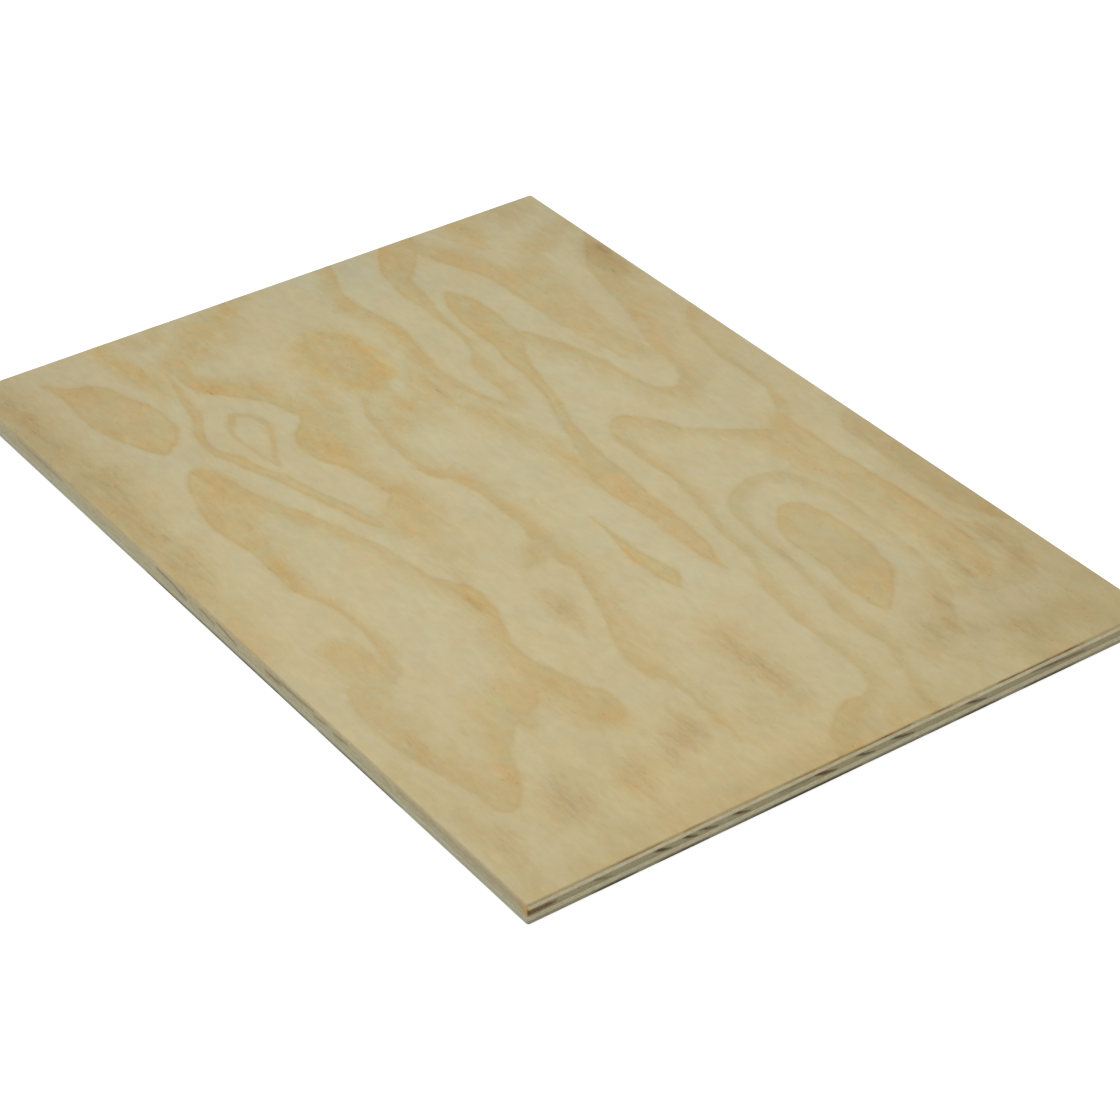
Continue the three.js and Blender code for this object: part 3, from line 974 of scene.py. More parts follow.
# %% Marks on the near edge, along the fibres of the core
NEAR_EDGE = [
    dict(
        soft=0.6, tone=0.75,
        path=[(-48, 7.4, 0.1), (-42, 7.2, 0.2), (-34, 6.5, 0.2), (-29, 5.6, 0.3), (-25, 5.1, 0.1)],
    ),
    dict(
        soft=0.5, tone=0.7, path=[(-15, 6.3, 0.1), (-11, 6.6, 0.2), (-7, 6.0, 0.15), (-3, 5.6, 0.1)],
    ),
    dict(
        soft=0.5, tone=0.85, path=[(-1, 7.6, 0.1), (4, 7.0, 0.2), (9, 6.1, 0.25), (14, 5.3, 0.1)],
    ),
    dict(soft=0.8, tone=0.6, path=[(35, 6.2, 0.2), (40, 6.0, 0.5), (46, 5.8, 0.2)]),
    dict(
        soft=0.7, tone=0.6, path=[(44, 6.9, 0.1), (54, 7.2, 0.25), (63, 7.4, 0.2), (70, 7.9, 0.1)],
    ),
    dict(soft=0.7, tone=0.6, path=[(70, 5.9, 0.1), (74, 6.3, 0.3), (79, 7.1, 0.1)]),
    dict(soft=0.7, tone=0.65, path=[(84, 5.9, 0.2), (88, 6.2, 0.3), (93, 6.9, 0.1)]),
    dict(soft=0.6, tone=0.4, path=[(117, 7.2, 0.1), (120, 6.2, 0.2), (123, 5.0, 0.1)]),
    dict(
        soft=0.9, tone=0.4,
        path=[(-165, 7.9, 0.1), (-150, 7.7, 0.4), (-132, 7.6, 0.3), (-126, 7.7, 0.1)],
    ),
    dict(soft=1.6, tone=0.2, path=[(128, 6.6, 0.4), (145, 6.8, 0.5), (206, 6.4, 1.0)]),
    # The dark line along the bottom of the edge, in the back veneer: partly latewood, partly painted
    # shade under the panel.
    stretch(-95, -58, 0.35, 0.15, 0.5),
    stretch(-60, 70, 0.35, 0.3, 1.4),
    stretch(72, 130, 0.35, 0.3, 1.2),
]
print(len(NEAR_EDGE), "marks on the near edge")

# %% Marks on the other two edges


def unseen_edge(length, strokes, seed):
    """Marks for an edge at the back: strokes or wavy lines every few centimetres."""
    pick = np.random.default_rng(seed)
    marks = []
    start = -length / 2 + 8
    while start < length / 2 - 20:
        run = pick.uniform(8, 16)
        tone = pick.uniform(0.6, 1.0)
        if strokes:
            marks.append(stroke(start, start + run, pick.uniform(0.3, 0.45), tone))
        else:
            heights = pick.uniform(5.2, 7.2) + pick.uniform(-0.5, 0.5, 4)
            places = start + run * np.arange(4) / 2
            path = list(zip(places, heights, (0.1, 0.25, 0.2, 0.1)))
            marks.append(dict(soft=0.8, tone=0.6 * tone, path=path))
        height = IN_FACE if pick.uniform() < 0.5 else IN_BACK_SHADED
        marks.append(stretch(start, start + 1.6 * run, height, 0.3, tone))
        start += run * pick.uniform(1.5, 3.0)
    return marks


EDGE_MARKS = {
    "right": RIGHT_EDGE,
    "left": unseen_edge(panel_width_mm, strokes=True, seed=31),
    "near": NEAR_EDGE,
    "far": unseen_edge(panel_length_mm, strokes=False, seed=32),
}
RESIN_GAIN = (1.05, 0.86, 0.62)
RESIN_SPOTS = {
    "near": [(209.5, 5.8, 4.5, 2.4, 1.8), (208, 8.4, 8, 1.8, 0.5)],
    "right": [(-148, 5.4, 3, 2.0, 1.5), (-139, 5.0, 4, 1.0, 0.8)],
}
print({side: len(marks) for side, marks in EDGE_MARKS.items()}, "marks on the edges")

# %% [markdown]
# ## The back
#
# Nobody looks at the back of a panel, so its figure isn't drawn: it is grown. A soft field of
# hills gives the age of the wood at each place. The fraction left after the whole years is the
# season, which rises from spring to autumn and then drops, and so gives each ring its soft
# side and its crisp side, as in the tree.

# %% Grow a figure for the back
RING_MM = 24.0  # one year's growth, as the slanting knife spreads it over the back
YEAR_MM = 34.0  # how far apart the years would lie if the field had no hills
HILLS = [(1.5, 150, 55, 7, 3), (0.8, 60, 24, 0, 0), (0.1, 14, 6, 0, 0)]
BACK_SEED = 51


def grow_figure(x, y, seed):
    """Depth, tone and crispness of rings that no one drew. Hills are in years and mm."""
    age = y / YEAR_MM
    for number, (years, length, width, shift_x, shift_y) in enumerate(HILLS):
        hills = soft_noise(x / length + shift_x, y / width + shift_y, seed + number)
        age = age + years * hills
    season = age - np.floor(age)
    since_spring_mm = (season - 0.55) * RING_MM
    before_winter_mm = (1.0 - season) * RING_MM
    depth = np.minimum(since_spring_mm / 7, before_winter_mm / CRISP_MM)
    crispness = (before_winter_mm < 3).astype(float)
    tone = 0.75 + 0.2 * soft_noise(x / 50, y / 20, seed + 3)
    return np.clip(depth, NO_LATEWOOD, DEEPEST), tone, crispness


back_depth, _, _ = grow_figure(sample_x, sample_y, BACK_SEED)
print(f"latewood covers {100 * (back_depth > 0).mean():.0f}% of the back")

# %% [markdown]
# ## A veneer as a closed shell
#
# A veneer is a flat slab with slightly rounded corners, and the two outer ones have a sanded
# arris, a quarter round of less than half a millimetre. Each shell is built from **rings**: the
# outline at one height, moved in a little where the arris turns. Quads join each ring to the
# next. The surface that shows is closed with a fine grid, because it has to carry the figure
# and the relief. A surface that is glued to the next veneer is closed with one big face.
#
# The grid's lines crowd together in the corners and are bent there into quarter circles. Every
# outline uses the same lines, so all five shells have the same corners as the CAD model.

# %% Outline and grid of the panel
CORNER_MM = 1.2
CORNER_STEPS = 4  # grid lines in half a corner
ARRIS_STEPS = 5
half_length_mm = 1000 * cad_high.x
half_width_mm = 1000 * cad_high.y


def grid_lines(half_mm, pitch_mm):
    """Where grid lines cross one direction: even along the side, crowded in the corners."""
    straight = half_mm - CORNER_MM
    middle = np.linspace(-straight, straight, round(2 * straight / pitch_mm) + 1)
    corner = straight + CORNER_MM * np.tan(np.linspace(0, math.pi / 4, CORNER_STEPS + 1))[1:]
    return np.concatenate([-corner[::-1], middle, corner])


def on_outline(x, y, inset_mm):
    """Grid points with the square corners bent round, moved in by `inset_mm` at the rim.
    Also gives the direction straight out of the panel, which is zero away from the rim."""
    base_x = np.clip(x, CORNER_MM - half_length_mm, half_length_mm - CORNER_MM)
    base_y = np.clip(y, CORNER_MM - half_width_mm, half_width_mm - CORNER_MM)
    out_x, out_y = (x - base_x) / CORNER_MM, (y - base_y) / CORNER_MM
    length = np.maximum(np.hypot(out_x, out_y), 1e-9)
    turn = np.maximum(abs(out_x), abs(out_y)) / length
    radius = CORNER_MM - inset_mm
    place_x, place_y = base_x + radius * turn * out_x, base_y + radius * turn * out_y
    return place_x, place_y, out_x / length, out_y / length


print(len(grid_lines(half_length_mm, 1.5)), "grid lines along the face")

# %% Heights and insets of the rings


def wall_rings(low_mm, high_mm, rows, bottom_arris=0.0, top_arris=0.0):
    """Rings from the bottom up: (inset, height, how far it faces up or down, sawn or not)."""
    rings = []
    quarter = np.linspace(0, math.pi / 2, ARRIS_STEPS + 1)
    if bottom_arris:
        for turn in quarter[:0:-1]:
            inset = bottom_arris * (1 - math.cos(turn))
            height = low_mm + bottom_arris * (1 - math.sin(turn))
            rings.append((inset, height, -turn, math.cos(turn)))
    for height in np.linspace(low_mm + bottom_arris, high_mm - top_arris, rows + 1):
        rings.append((0.0, height, 0.0, 1.0))
    if top_arris:
        for turn in quarter[1:]:
            inset = top_arris * (1 - math.cos(turn))
            height = high_mm - top_arris * (1 - math.sin(turn))
            rings.append((inset, height, turn, math.cos(turn)))
    return rings


print(len(wall_rings(8.4, 9.8, 3, top_arris=0.45)), "rings round the face veneer")

# %% The wall and the fine surface of a shell


def wall(loop_x, loop_y, rings):
    """The rings and the quads between them: places, outward directions, sawn or not, faces."""
    size = len(loop_x)
    places, outwards, sawn = [], [], []
    for inset, height, lean, cut in rings:
        x, y, out_x, out_y = on_outline(loop_x, loop_y, inset)
        places.append(np.column_stack([x, y, np.full(size, height)]))
        up = np.full(size, math.sin(lean))
        outwards.append(np.column_stack([math.cos(lean) * out_x, math.cos(lean) * out_y, up]))
        sawn.append(np.full(size, cut))
    here = np.arange(size)
    following = np.roll(here, -1)
    faces = []
    for ring in range(len(rings) - 1):
        low, high = ring * size, (ring + 1) * size
        quads = [low + here, low + following, high + following, high + here]
        faces += np.column_stack(quads).tolist()
    return places, outwards, sawn, faces


def surface_quads(number, faces_up):
    """One quad for each cell of a grid, given the vertex at each of its points."""
    corners = [number[:-1, :-1], number[:-1, 1:], number[1:, 1:], number[1:, :-1]]
    return np.stack(corners if faces_up else corners[::-1], axis=-1).reshape(-1, 4).tolist()


print(len(surface_quads(np.zeros((3, 3)), True)), "quads in a grid of 3 by 3 points")

# %% Build one shell


def shell(name, grid_pitch_mm, rings, grid_on=None):
    """A closed mesh from rings, with a grid on its "top" or "bottom" where that side shows.
    Returns the mesh and, for each vertex: place (mm), outward direction, sawn or not."""
    lines_x = grid_lines(half_length_mm, grid_pitch_mm[0])
    lines_y = grid_lines(half_width_mm, grid_pitch_mm[1])
    grid_x, grid_y = np.meshgrid(lines_x, lines_y)
    index = np.arange(grid_x.size).reshape(grid_x.shape)
    loop = np.concatenate([index[0, :-1], index[:-1, -1], index[-1, :0:-1], index[:0:-1, 0]])
    loop_x, loop_y = grid_x.ravel()[loop], grid_y.ravel()[loop]
    places, outwards, sawn, faces = wall(loop_x, loop_y, rings)

    lowest = np.arange(len(loop))
    highest = (len(rings) - 1) * len(loop) + lowest
    if grid_on:
        on_top = grid_on == "top"
        inset, height = rings[-1][:2] if on_top else rings[0][:2]
        inner = index[1:-1, 1:-1].ravel()
        x, y, _, _ = on_outline(grid_x.ravel()[inner], grid_y.ravel()[inner], inset)
        places.append(np.column_stack([x, y, np.full(len(inner), height)]))
        outwards.append(np.tile([0.0, 0.0, 1.0 if on_top else -1.0], (len(inner), 1)))
        sawn.append(np.zeros(len(inner)))
        number = np.full(grid_x.size, -1)
        number[loop] = highest if on_top else lowest
        number[inner] = len(rings) * len(loop) + np.arange(len(inner))
        faces += surface_quads(number[index], on_top)
    if grid_on != "bottom":
        faces.append(lowest[::-1].tolist())
    if grid_on != "top":
        faces.append(highest.tolist())

    places, outwards, sawn = np.vstack(places), np.vstack(outwards), np.concatenate(sawn)
    mesh = bpy.data.meshes.new(name)
    mesh.from_pydata(places / 1000, [], faces)
    mesh.validate()
    return mesh, places, outwards, sawn


test_mesh, _, _, _ = shell("test", (20, 20), wall_rings(0, 2, 2))
print("a coarse shell has", len(test_mesh.polygons), "faces")
bpy.data.meshes.remove(test_mesh)

# %% [markdown]
# ## Giving the mesh its figure
#
# Numbers for the wood are stored on the mesh as **attributes**: the depth, tone and crispness
# of the latewood, the stains, the age and the tint of the wood, which also carry painted shade
# along the borders and on the arris, and whether a place was sawn and whether the saw met the
# ends of the fibres there. The material and the relief both read them by name, so the colour
# and the shape of a ring always agree. Attributes stay with the mesh when it is exported, while
# a pattern made from the camera or a window would slide off.
#
# Where the face turns over its arris into the sawn side, one look has to melt into the other.
# `share` says how much of the sawn side a place has, and everything is blended by it.

# %% Store the figure on a shell


def store(mesh, name, values, kind="FLOAT"):
    """One value for each vertex, under a name."""
    attribute = mesh.attributes.new(name, kind, "POINT")
    key = "vector" if kind == "FLOAT_VECTOR" else "value"
    attribute.data.foreach_set(key, np.ascontiguousarray(values, dtype=np.float32).ravel())


END_GRAIN_TONE = 1.4  # cut ends drink in the light, so marks on an edge are darker


def edge_figure(places, outwards):
    """Depth, tone and tint of the marks on the four sawn edges."""
    depth, tone = np.full(len(places), NO_LATEWOOD), np.ones(len(places))
    tint = np.ones((len(places), 3))
    sides = {
        "right": (outwards[:, 0] > 0.7, places[:, 1]),
        "left": (outwards[:, 0] < -0.7, places[:, 1]),
        "near": (outwards[:, 1] < -0.7, places[:, 0]),
        "far": (outwards[:, 1] > 0.7, places[:, 0]),
    }
    for side, (here, along) in sides.items():
        for mark in EDGE_MARKS[side]:
            points = np.array(mark["path"])
            near = here & (along > points[:, 0].min() - 4) & (along < points[:, 0].max() + 4)
            inside, _, _ = depth_in_band(along[near], places[near, 2], points, soft=mark["soft"])
            deeper = inside > depth[near]
            depth[near] = np.where(deeper, inside, depth[near])
            tone[near] = np.where(deeper, mark["tone"], tone[near])
        resin = in_spots(along, places[:, 2], RESIN_SPOTS.get(side, [])) * here
        tint = tint * np.power(RESIN_GAIN, resin[:, None])
    return depth, END_GRAIN_TONE * tone, tint


SANDED_SIDE_MM = 1.3  # how far down the sawn side of the face the sandpaper reached
ABOVE_FACE_MM = 0.15  # the blend starts a little higher than the face


def mark_wood(mesh, places, outwards, sawn, grain, figure):
    """Stores the figure of the surface and of the sawn edges, blended across the arris."""
    x, y, z = places.T
    depth, tone, crispness = figure(x, y)
    edge_depth, edge_tone, tint = edge_figure(places, outwards)
    share = smooth_step(sawn)
    stain, aged_and_shaded = np.zeros(len(places)), np.zeros(len(places))
    if figure is face_figure:
        # Sandpaper and hands carry the look of the face a little way down the sawn side.
        rim = 0.35 * soft_noise((x + y) / 5, z / 3, 41)
        below = 1000 * cad_high.z + ABOVE_FACE_MM - z
        share = share * smooth_step((below + rim) / SANDED_SIDE_MM)
        stain = in_spots(x, y, STAINS) * (1 - 0.6 * share)
        # Aged zones: partly browning, partly painted shade where the light falls off towards the
        # borders.
        aged_and_shaded = in_spots(x, y, AGED_AND_SHADED, ragged=0.1) * (1 - share)
        # A dark brown line along the arris: partly the veneer's darker rim, partly painted shade where
        # the face turns down.
        aged_and_shaded = aged_and_shaded + 1.2 * share * (1 - share)
        for coat in TINTS.values():
            there = in_spots(x, y, coat["spots"], ragged=0.1)
            tint = tint * np.power(coat["gain"], there[:, None])
    store(mesh, "depth", depth + (edge_depth - depth) * share)
    store(mesh, "tone", tone + (edge_tone - tone) * share)
    store(mesh, "crispness", crispness * (1 - share))
    store(mesh, "stain", stain)
    store(mesh, "aged_and_shaded", aged_and_shaded)
    store(mesh, "tint", tint, "FLOAT_VECTOR")
    store(mesh, "sawn", share)
    across = abs(outwards[:, 0] if grain == "X" else outwards[:, 1])
    store(mesh, "end_grain", smooth_step((across - 0.4) / 0.3) * share)
    store(mesh, "outward", outwards, "FLOAT_VECTOR")


print("the face blends into its sawn side over", SANDED_SIDE_MM, "mm")

# %% Three kinds of figure


def face_figure(x, y):
    """The drawn figure, with its warm and pale spots."""
    depth, tone, crispness = read_figure(x, y, FACE_BANDS)
    depth = depth - in_spots(x, y, PALE_SPOTS)
    return depth, tone * (1 + in_spots(x, y, WARM_SPOTS)), crispness


def back_figure(x, y):
    """The grown figure."""
    return grow_figure(x, y, BACK_SEED)


def plain_figure(x, y):
    """No figure: both surfaces of an inner veneer are hidden."""
    return np.full(x.shape, NO_LATEWOOD), np.ones(x.shape), np.zeros(x.shape)


_, tongue_tone, _ = face_figure(np.array([15.0]), np.array([34.0]))
print(f"the tongue has a tone of {tongue_tone[0]:.2f}")

# %% [markdown]
# ## Relief: a Geometry Nodes tree
#
# Sanding takes a little more of the soft earlywood than of the hard latewood, so the figure can
# be felt with a fingertip. The fibres leave fine grooves, and the saw leaves scratches on the
# edges. That is a rule for the whole surface, which is what Geometry Nodes is good at: the tree
# reads the stored attributes and moves each point straight inwards by a few hundredths of a
# millimetre. Points only ever move inwards, so the panel never grows.

# %% The relief tree
SAW_SCRATCHES = (1400.0, 1400.0, 260.0)  # per metre: they run up and down the edge


def relief_tree():
    """A tree that wears a shell down: its inputs are depths in metres."""
    tree = bpy.data.node_groups.new("veneer relief", "GeometryNodeTree")
    face = tree.interface
    face.new_socket("Geometry", in_out="INPUT", socket_type="NodeSocketGeometry")
    for name in ("Earlywood Wear", "Fibre Depth", "Saw Depth"):
        face.new_socket(name, in_out="INPUT", socket_type="NodeSocketFloat")
    face.new_socket("Fibre Stretch", in_out="INPUT", socket_type="NodeSocketVector")
    face.new_socket("Finish", in_out="INPUT", socket_type="NodeSocketMaterial")
    face.new_socket("Geometry", in_out="OUTPUT", socket_type="NodeSocketGeometry")
    given = add_node(tree, "NodeGroupInput").outputs
    place = add_node(tree, "GeometryNodeInputPosition").outputs[0]

    def carried(name, kind="FLOAT"):
        node = add_node(tree, "GeometryNodeInputNamedAttribute", {"Name": name}, data_type=kind)
        return node.outputs["Attribute"]

    def noise_at(stretch, detail):
        inputs = {0: place, 1: stretch}
        stretched = add_node(tree, "ShaderNodeVectorMath", inputs, operation="MULTIPLY")
        inputs = {"Vector": stretched.outputs[0], "Scale": 1.0, "Detail": detail}
        return add_node(tree, "ShaderNodeTexNoise", inputs).outputs["Fac"]

    latewood = ramp(tree, carried("depth"), -0.5, 0.5)
    latewood = calculate(tree, "MULTIPLY", latewood, carried("tone"))
    earlywood = calculate(tree, "SUBTRACT", 1.0, latewood)
    earlywood = calculate(tree, "MAXIMUM", earlywood, 0.0)
    wear = calculate(tree, "MULTIPLY", earlywood, given["Earlywood Wear"])
    grooves = noise_at(given["Fibre Stretch"], 2.0)
    wear = calculate(tree, "MULTIPLY_ADD", grooves, given["Fibre Depth"], wear)
    scratches = calculate(tree, "MULTIPLY", noise_at(SAW_SCRATCHES, 1.0), carried("sawn"))
    wear = calculate(tree, "MULTIPLY_ADD", scratches, given["Saw Depth"], wear)

    inwards = calculate(tree, "MULTIPLY", wear, -1.0)
    inputs = {0: carried("outward", "FLOAT_VECTOR"), "Scale": inwards}
    shift = add_node(tree, "ShaderNodeVectorMath", inputs, operation="SCALE")
    inputs = {"Geometry": given["Geometry"], "Offset": shift.outputs[0]}
    worn = add_node(tree, "GeometryNodeSetPosition", inputs)
    real = add_node(tree, "GeometryNodeRealizeInstances", {0: worn.outputs[0]})
    inputs = {0: real.outputs[0], "Material": given["Finish"]}
    finished = add_node(tree, "GeometryNodeSetMaterial", inputs)
    add_node(tree, "NodeGroupOutput", {0: finished.outputs[0]})
    return tree


RELIEF = relief_tree()
print("relief tree:", len(RELIEF.nodes), "nodes")

# %% [markdown]
# ## The pine finish
#
# One recipe makes the material of all five veneers. Only the colours and the direction of the
# grain differ. It works from the large to the small, and the next cells build its parts:
#
# 1. Noise in the shape of fibres, and the attributes of the mesh.
# 2. The latewood, which is painted over the earlywood.
# 3. Slow drifts of colour, and then glazes for everything that darkens or pales the wood.
#
# Noise is stretched by dividing the place by a fibre's length and width. On a sawn end the same
# noise is cut across and turns into fine speckles, as real fibres do.

# %% Read the wood's place and attributes


def wood_place(tree, along_y):
    """Object coordinates in millimetres, turned so that the first one runs along the fibres."""
    place = add_node(tree, "ShaderNodeTexCoord").outputs["Object"]
    turned = add_node(tree, "ShaderNodeMapping", {"Vector": place, "Scale": (1000.0,) * 3})
    if along_y:
        turned.inputs["Rotation"].default_value = (0, 0, -math.pi / 2)
    return turned.outputs[0]


def stretched_noise(tree, place, length_mm, width_mm, detail=2.0, roughness=0.5, distortion=0.0):
    """A noise whose hills have about this length along the fibres, and this width."""
    inputs = {0: place, 1: (1 / length_mm, 1 / width_mm, 1 / width_mm)}
    scaled = add_node(tree, "ShaderNodeVectorMath", inputs, operation="MULTIPLY")
    inputs = {"Vector": scaled.outputs[0], "Scale": 1.0, "Detail": detail}
    inputs |= {"Roughness": roughness, "Distortion": distortion}
    return add_node(tree, "ShaderNodeTexNoise", inputs).outputs


def fibres(tree, place, length_mm, width_mm, **noise):
    """One number from 0 to 1, in threads of about this length and width."""
    return stretched_noise(tree, place, length_mm, width_mm, **noise)["Fac"]


def stored(tree, name, output="Fac"):
    """The value that the mesh carries under this name."""
    return add_node(tree, "ShaderNodeAttribute", attribute_name=name).outputs[output]


print("fibre noise ready")

# %% [markdown]
# A **glaze** is a thin coat that multiplies the colour under it, as a varnish does. Each mark
# on the wood has one glaze, and an amount from 0 to 1 says where it lies. Multiplying keeps the
# marks natural, since a stain on dark latewood is darker than the same stain on pale wood.

# %% Glazes
GLAZES = {
    "dense latewood": (0.929, 0.924, 0.917, 1),
    "cloud": (0.965, 0.96, 0.95, 1),
    # The age glaze browns and darkens: partly browning, partly painted shade at the borders and on the
    # arris.
    "age": (0.88, 0.84, 0.77, 1),
    "long fibre": (0.985, 0.98, 0.97, 1),
    "resin canal": (0.84, 0.77, 0.67, 1),
    "pale fleck": (1.08, 1.11, 1.16, 1),
    "end of a year": (0.965, 0.935, 0.89, 1),
    "stain": (0.58, 0.43, 0.29, 1),
    "torn fibre": (0.88, 0.88, 0.87, 1),
    "glue": (0.62, 0.54, 0.44, 1),
}


def glaze(tree, colour, name, amount):
    """The colour under a coat of a glaze, which is full where the amount is 1."""
    return blend(tree, amount, colour, GLAZES[name], "MULTIPLY")


print(len(GLAZES), "glazes")

# %% [markdown]
# The latewood's share comes from the depth on the mesh. Fibre noise is added to the depth
# before it is turned into a share, so that the boundaries of the bands fray along the grain.
# On top of the band lies a faint glow that reaches a few millimetres out on the soft side.
#
# There are three pairs of colours, for earlywood and latewood: on the face, on an edge sawn
# along the fibres, and on an edge sawn across them, where the open ends drink in the light.

# %% Latewood and the colours of each side
BAND_COLOUR, GLOW_COLOUR = 0.66, 0.1  # how much of the latewood's colour each brings


def fray(tree, depth, threads):
    """The depth, made uneven by each (noise, strength), so that no band has a drawn outline."""
    for noise, strength in threads:
        depth = calculate(tree, "SUBTRACT", depth, strength / 2)
        depth = calculate(tree, "MULTIPLY_ADD", noise, strength, depth)
    return depth


def latewood_share(tree, band, frayed, tone, long_fibres):
    """How much of the latewood's colour shows. It glows a little way out of its band."""
    glow = ramp(tree, frayed, -3.4, 0.5)
    glow = calculate(tree, "MULTIPLY", glow, GLOW_COLOUR)
    share = calculate(tree, "MULTIPLY_ADD", band, BAND_COLOUR, glow)
    share = calculate(tree, "MULTIPLY", share, tone)
    streaks = calculate(tree, "MULTIPLY_ADD", long_fibres, 0.28, 0.86)
    return calculate(tree, "MULTIPLY", share, streaks)


def side_colours(tree, sawn, end_grain, face, long_side, end_side):
    """Earlywood and latewood on whichever side of the veneer is seen."""
    pair = []
    for on_face, along_fibres, across_fibres in zip(face, long_side, end_side):
        on_edge = blend(tree, end_grain, along_fibres, across_fibres)
        pair.append(blend(tree, sawn, on_face, on_edge))
    return pair


print("latewood ready")

# %% [markdown]
# Wood is never one colour. A drift swings it slowly between cool and warm and between dark and
# pale, in several sizes at once, from a hand's breadth down to a few millimetres. The latewood
# is the livelier of the two, so it has drifts of its own.

# %% Drifts of colour
WARM_SHIFT = (0.35, -0.3, -1.0)  # warmer wood is redder, and above all less blue
# Each drift is (length in mm, width in mm, warmth, shade).
LATE_DRIFTS = [(16, 8, 0.14, 0.03), (6, 4, 0.05, 0.03)]
WOOD_DRIFTS = [(70, 45, 0.04, 0.02), (18, 12, 0.035, 0.02), (6, 3.5, 0.035, 0.026)]


def drift(tree, colour, place, drifts):
    """The colour, swung to and fro by two noises for each drift in the list."""
    for length_mm, width_mm, warmth, shade in drifts:
        noise = stretched_noise(tree, place, length_mm, width_mm, detail=3.0, distortion=0.5)
        two_noises = add_node(tree, "ShaderNodeSeparateColor", {0: noise["Color"]}).outputs
        cool = tuple(1 - warmth * shift for shift in WARM_SHIFT) + (1,)
        warm = tuple(1 + warmth * shift for shift in WARM_SHIFT) + (1,)
        gain = blend(tree, ramp(tree, two_noises[0], 0.25, 0.75), cool, warm)
        colour = blend(tree, 1.0, colour, gain, "MULTIPLY")
        dark, pale = (1 - shade,) * 3 + (1,), (1 + shade,) * 3 + (1,)
        gain = blend(tree, ramp(tree, two_noises[1], 0.25, 0.75), dark, pale)
        colour = blend(tree, 1.0, colour, gain, "MULTIPLY")
    return colour


print("drifts:", len(LATE_DRIFTS), "in the latewood,", len(WOOD_DRIFTS), "in all the wood")

# %% [markdown]
# The marks come last. Fibres show as long faint shades, as short dark dashes where a resin
# canal was cut open, and as pale flecks where a fibre has come off. A thin brown line ends each
# year. Stains creep along the fibres. A sawn edge has torn fibres and the dark threads of the
# glue lines, each a few hundredths of a millimetre thick.

# %% Fibres and the ends of the years


def show_fibres(tree, colour, long_fibres, fine_fibres, latewood, age):
    """Long fibres shade all the wood. Dashes and flecks sit mostly where it is dark."""
    colour = glaze(tree, colour, "long fibre", ramp(tree, long_fibres, 0.35, 0.7))
    strength = calculate(tree, "MULTIPLY_ADD", latewood, 0.9, 0.1)
    strength = calculate(tree, "MULTIPLY_ADD", age, 0.5, strength)
    dashes = calculate(tree, "MULTIPLY", ramp(tree, fine_fibres, 0.67, 0.74), strength)
    flecks = calculate(tree, "MULTIPLY", ramp(tree, fine_fibres, 0.33, 0.26), strength)
    colour = glaze(tree, colour, "resin canal", dashes)
    return glaze(tree, colour, "pale fleck", flecks)


def end_years(tree, colour, frayed, crispness, tone):
    """A thin line on the crisp side of each ring, where winter stopped the growth."""
    line = calculate(tree, "MULTIPLY", ramp(tree, frayed, -0.4, 0.3), ramp(tree, frayed, 1.3, 0.5))
    line = calculate(tree, "MULTIPLY", line, crispness)
    return glaze(tree, colour, "end of a year", calculate(tree, "MULTIPLY", line, tone))


print("fibre marks ready")

# %% Stains, torn fibres, glue and fine relief


def soak(tree, colour, stain, long_fibres, fine_fibres):
    """Stains, which creep along the fibres and so have a ragged rim."""
    long_share = ramp(tree, long_fibres, 0.42, 0.66)
    ragged = calculate(tree, "ADD", long_share, ramp(tree, fine_fibres, 0.45, 0.7))
    ragged = calculate(tree, "MULTIPLY_ADD", ragged, 0.7, 0.6)
    return glaze(tree, colour, "stain", calculate(tree, "MULTIPLY", stain, ragged))


def show_saw_and_glue(tree, colour, place, sawn, glue_mm):
    """Torn fibres speckle a sawn edge, and each glue line is a thread of dark resin."""
    torn = ramp(tree, fibres(tree, place, 2.5, 0.9), 0.38, 0.62)
    colour = glaze(tree, colour, "torn fibre", calculate(tree, "MULTIPLY", torn, sawn))
    height = add_node(tree, "ShaderNodeSeparateXYZ", {0: place}).outputs["Z"]
    for glue_height in glue_mm:
        away = calculate(tree, "ABSOLUTE", calculate(tree, "SUBTRACT", height, glue_height))
        glue = calculate(tree, "MULTIPLY", ramp(tree, away, 0.10, 0.03), sawn)
        colour = glaze(tree, colour, "glue", glue)
    return colour


def fine_relief(tree, place, sawn, long_fibres, fine_fibres):
    """Relief too fine for the mesh, in millimetres: fibres, and open pores on a sawn edge."""
    relief = calculate(tree, "MULTIPLY", fine_fibres, 0.010)
    relief = calculate(tree, "MULTIPLY_ADD", long_fibres, 0.015, relief)
    pores = calculate(tree, "MULTIPLY", fibres(tree, place, 3, 0.16), 0.05)
    relief = calculate(tree, "MULTIPLY_ADD", pores, sawn, relief)
    inputs = {"Height": relief, "Distance": 0.001, "Strength": 1.0}
    return add_node(tree, "ShaderNodeBump", inputs).outputs[0]


print("saw marks ready")

# %% [markdown]
# The recipe itself is now a list of those steps. Latewood is denser and smoother than
# earlywood, so it is also a little less rough, and a sawn edge is rougher than a sanded face.

# %% The recipe


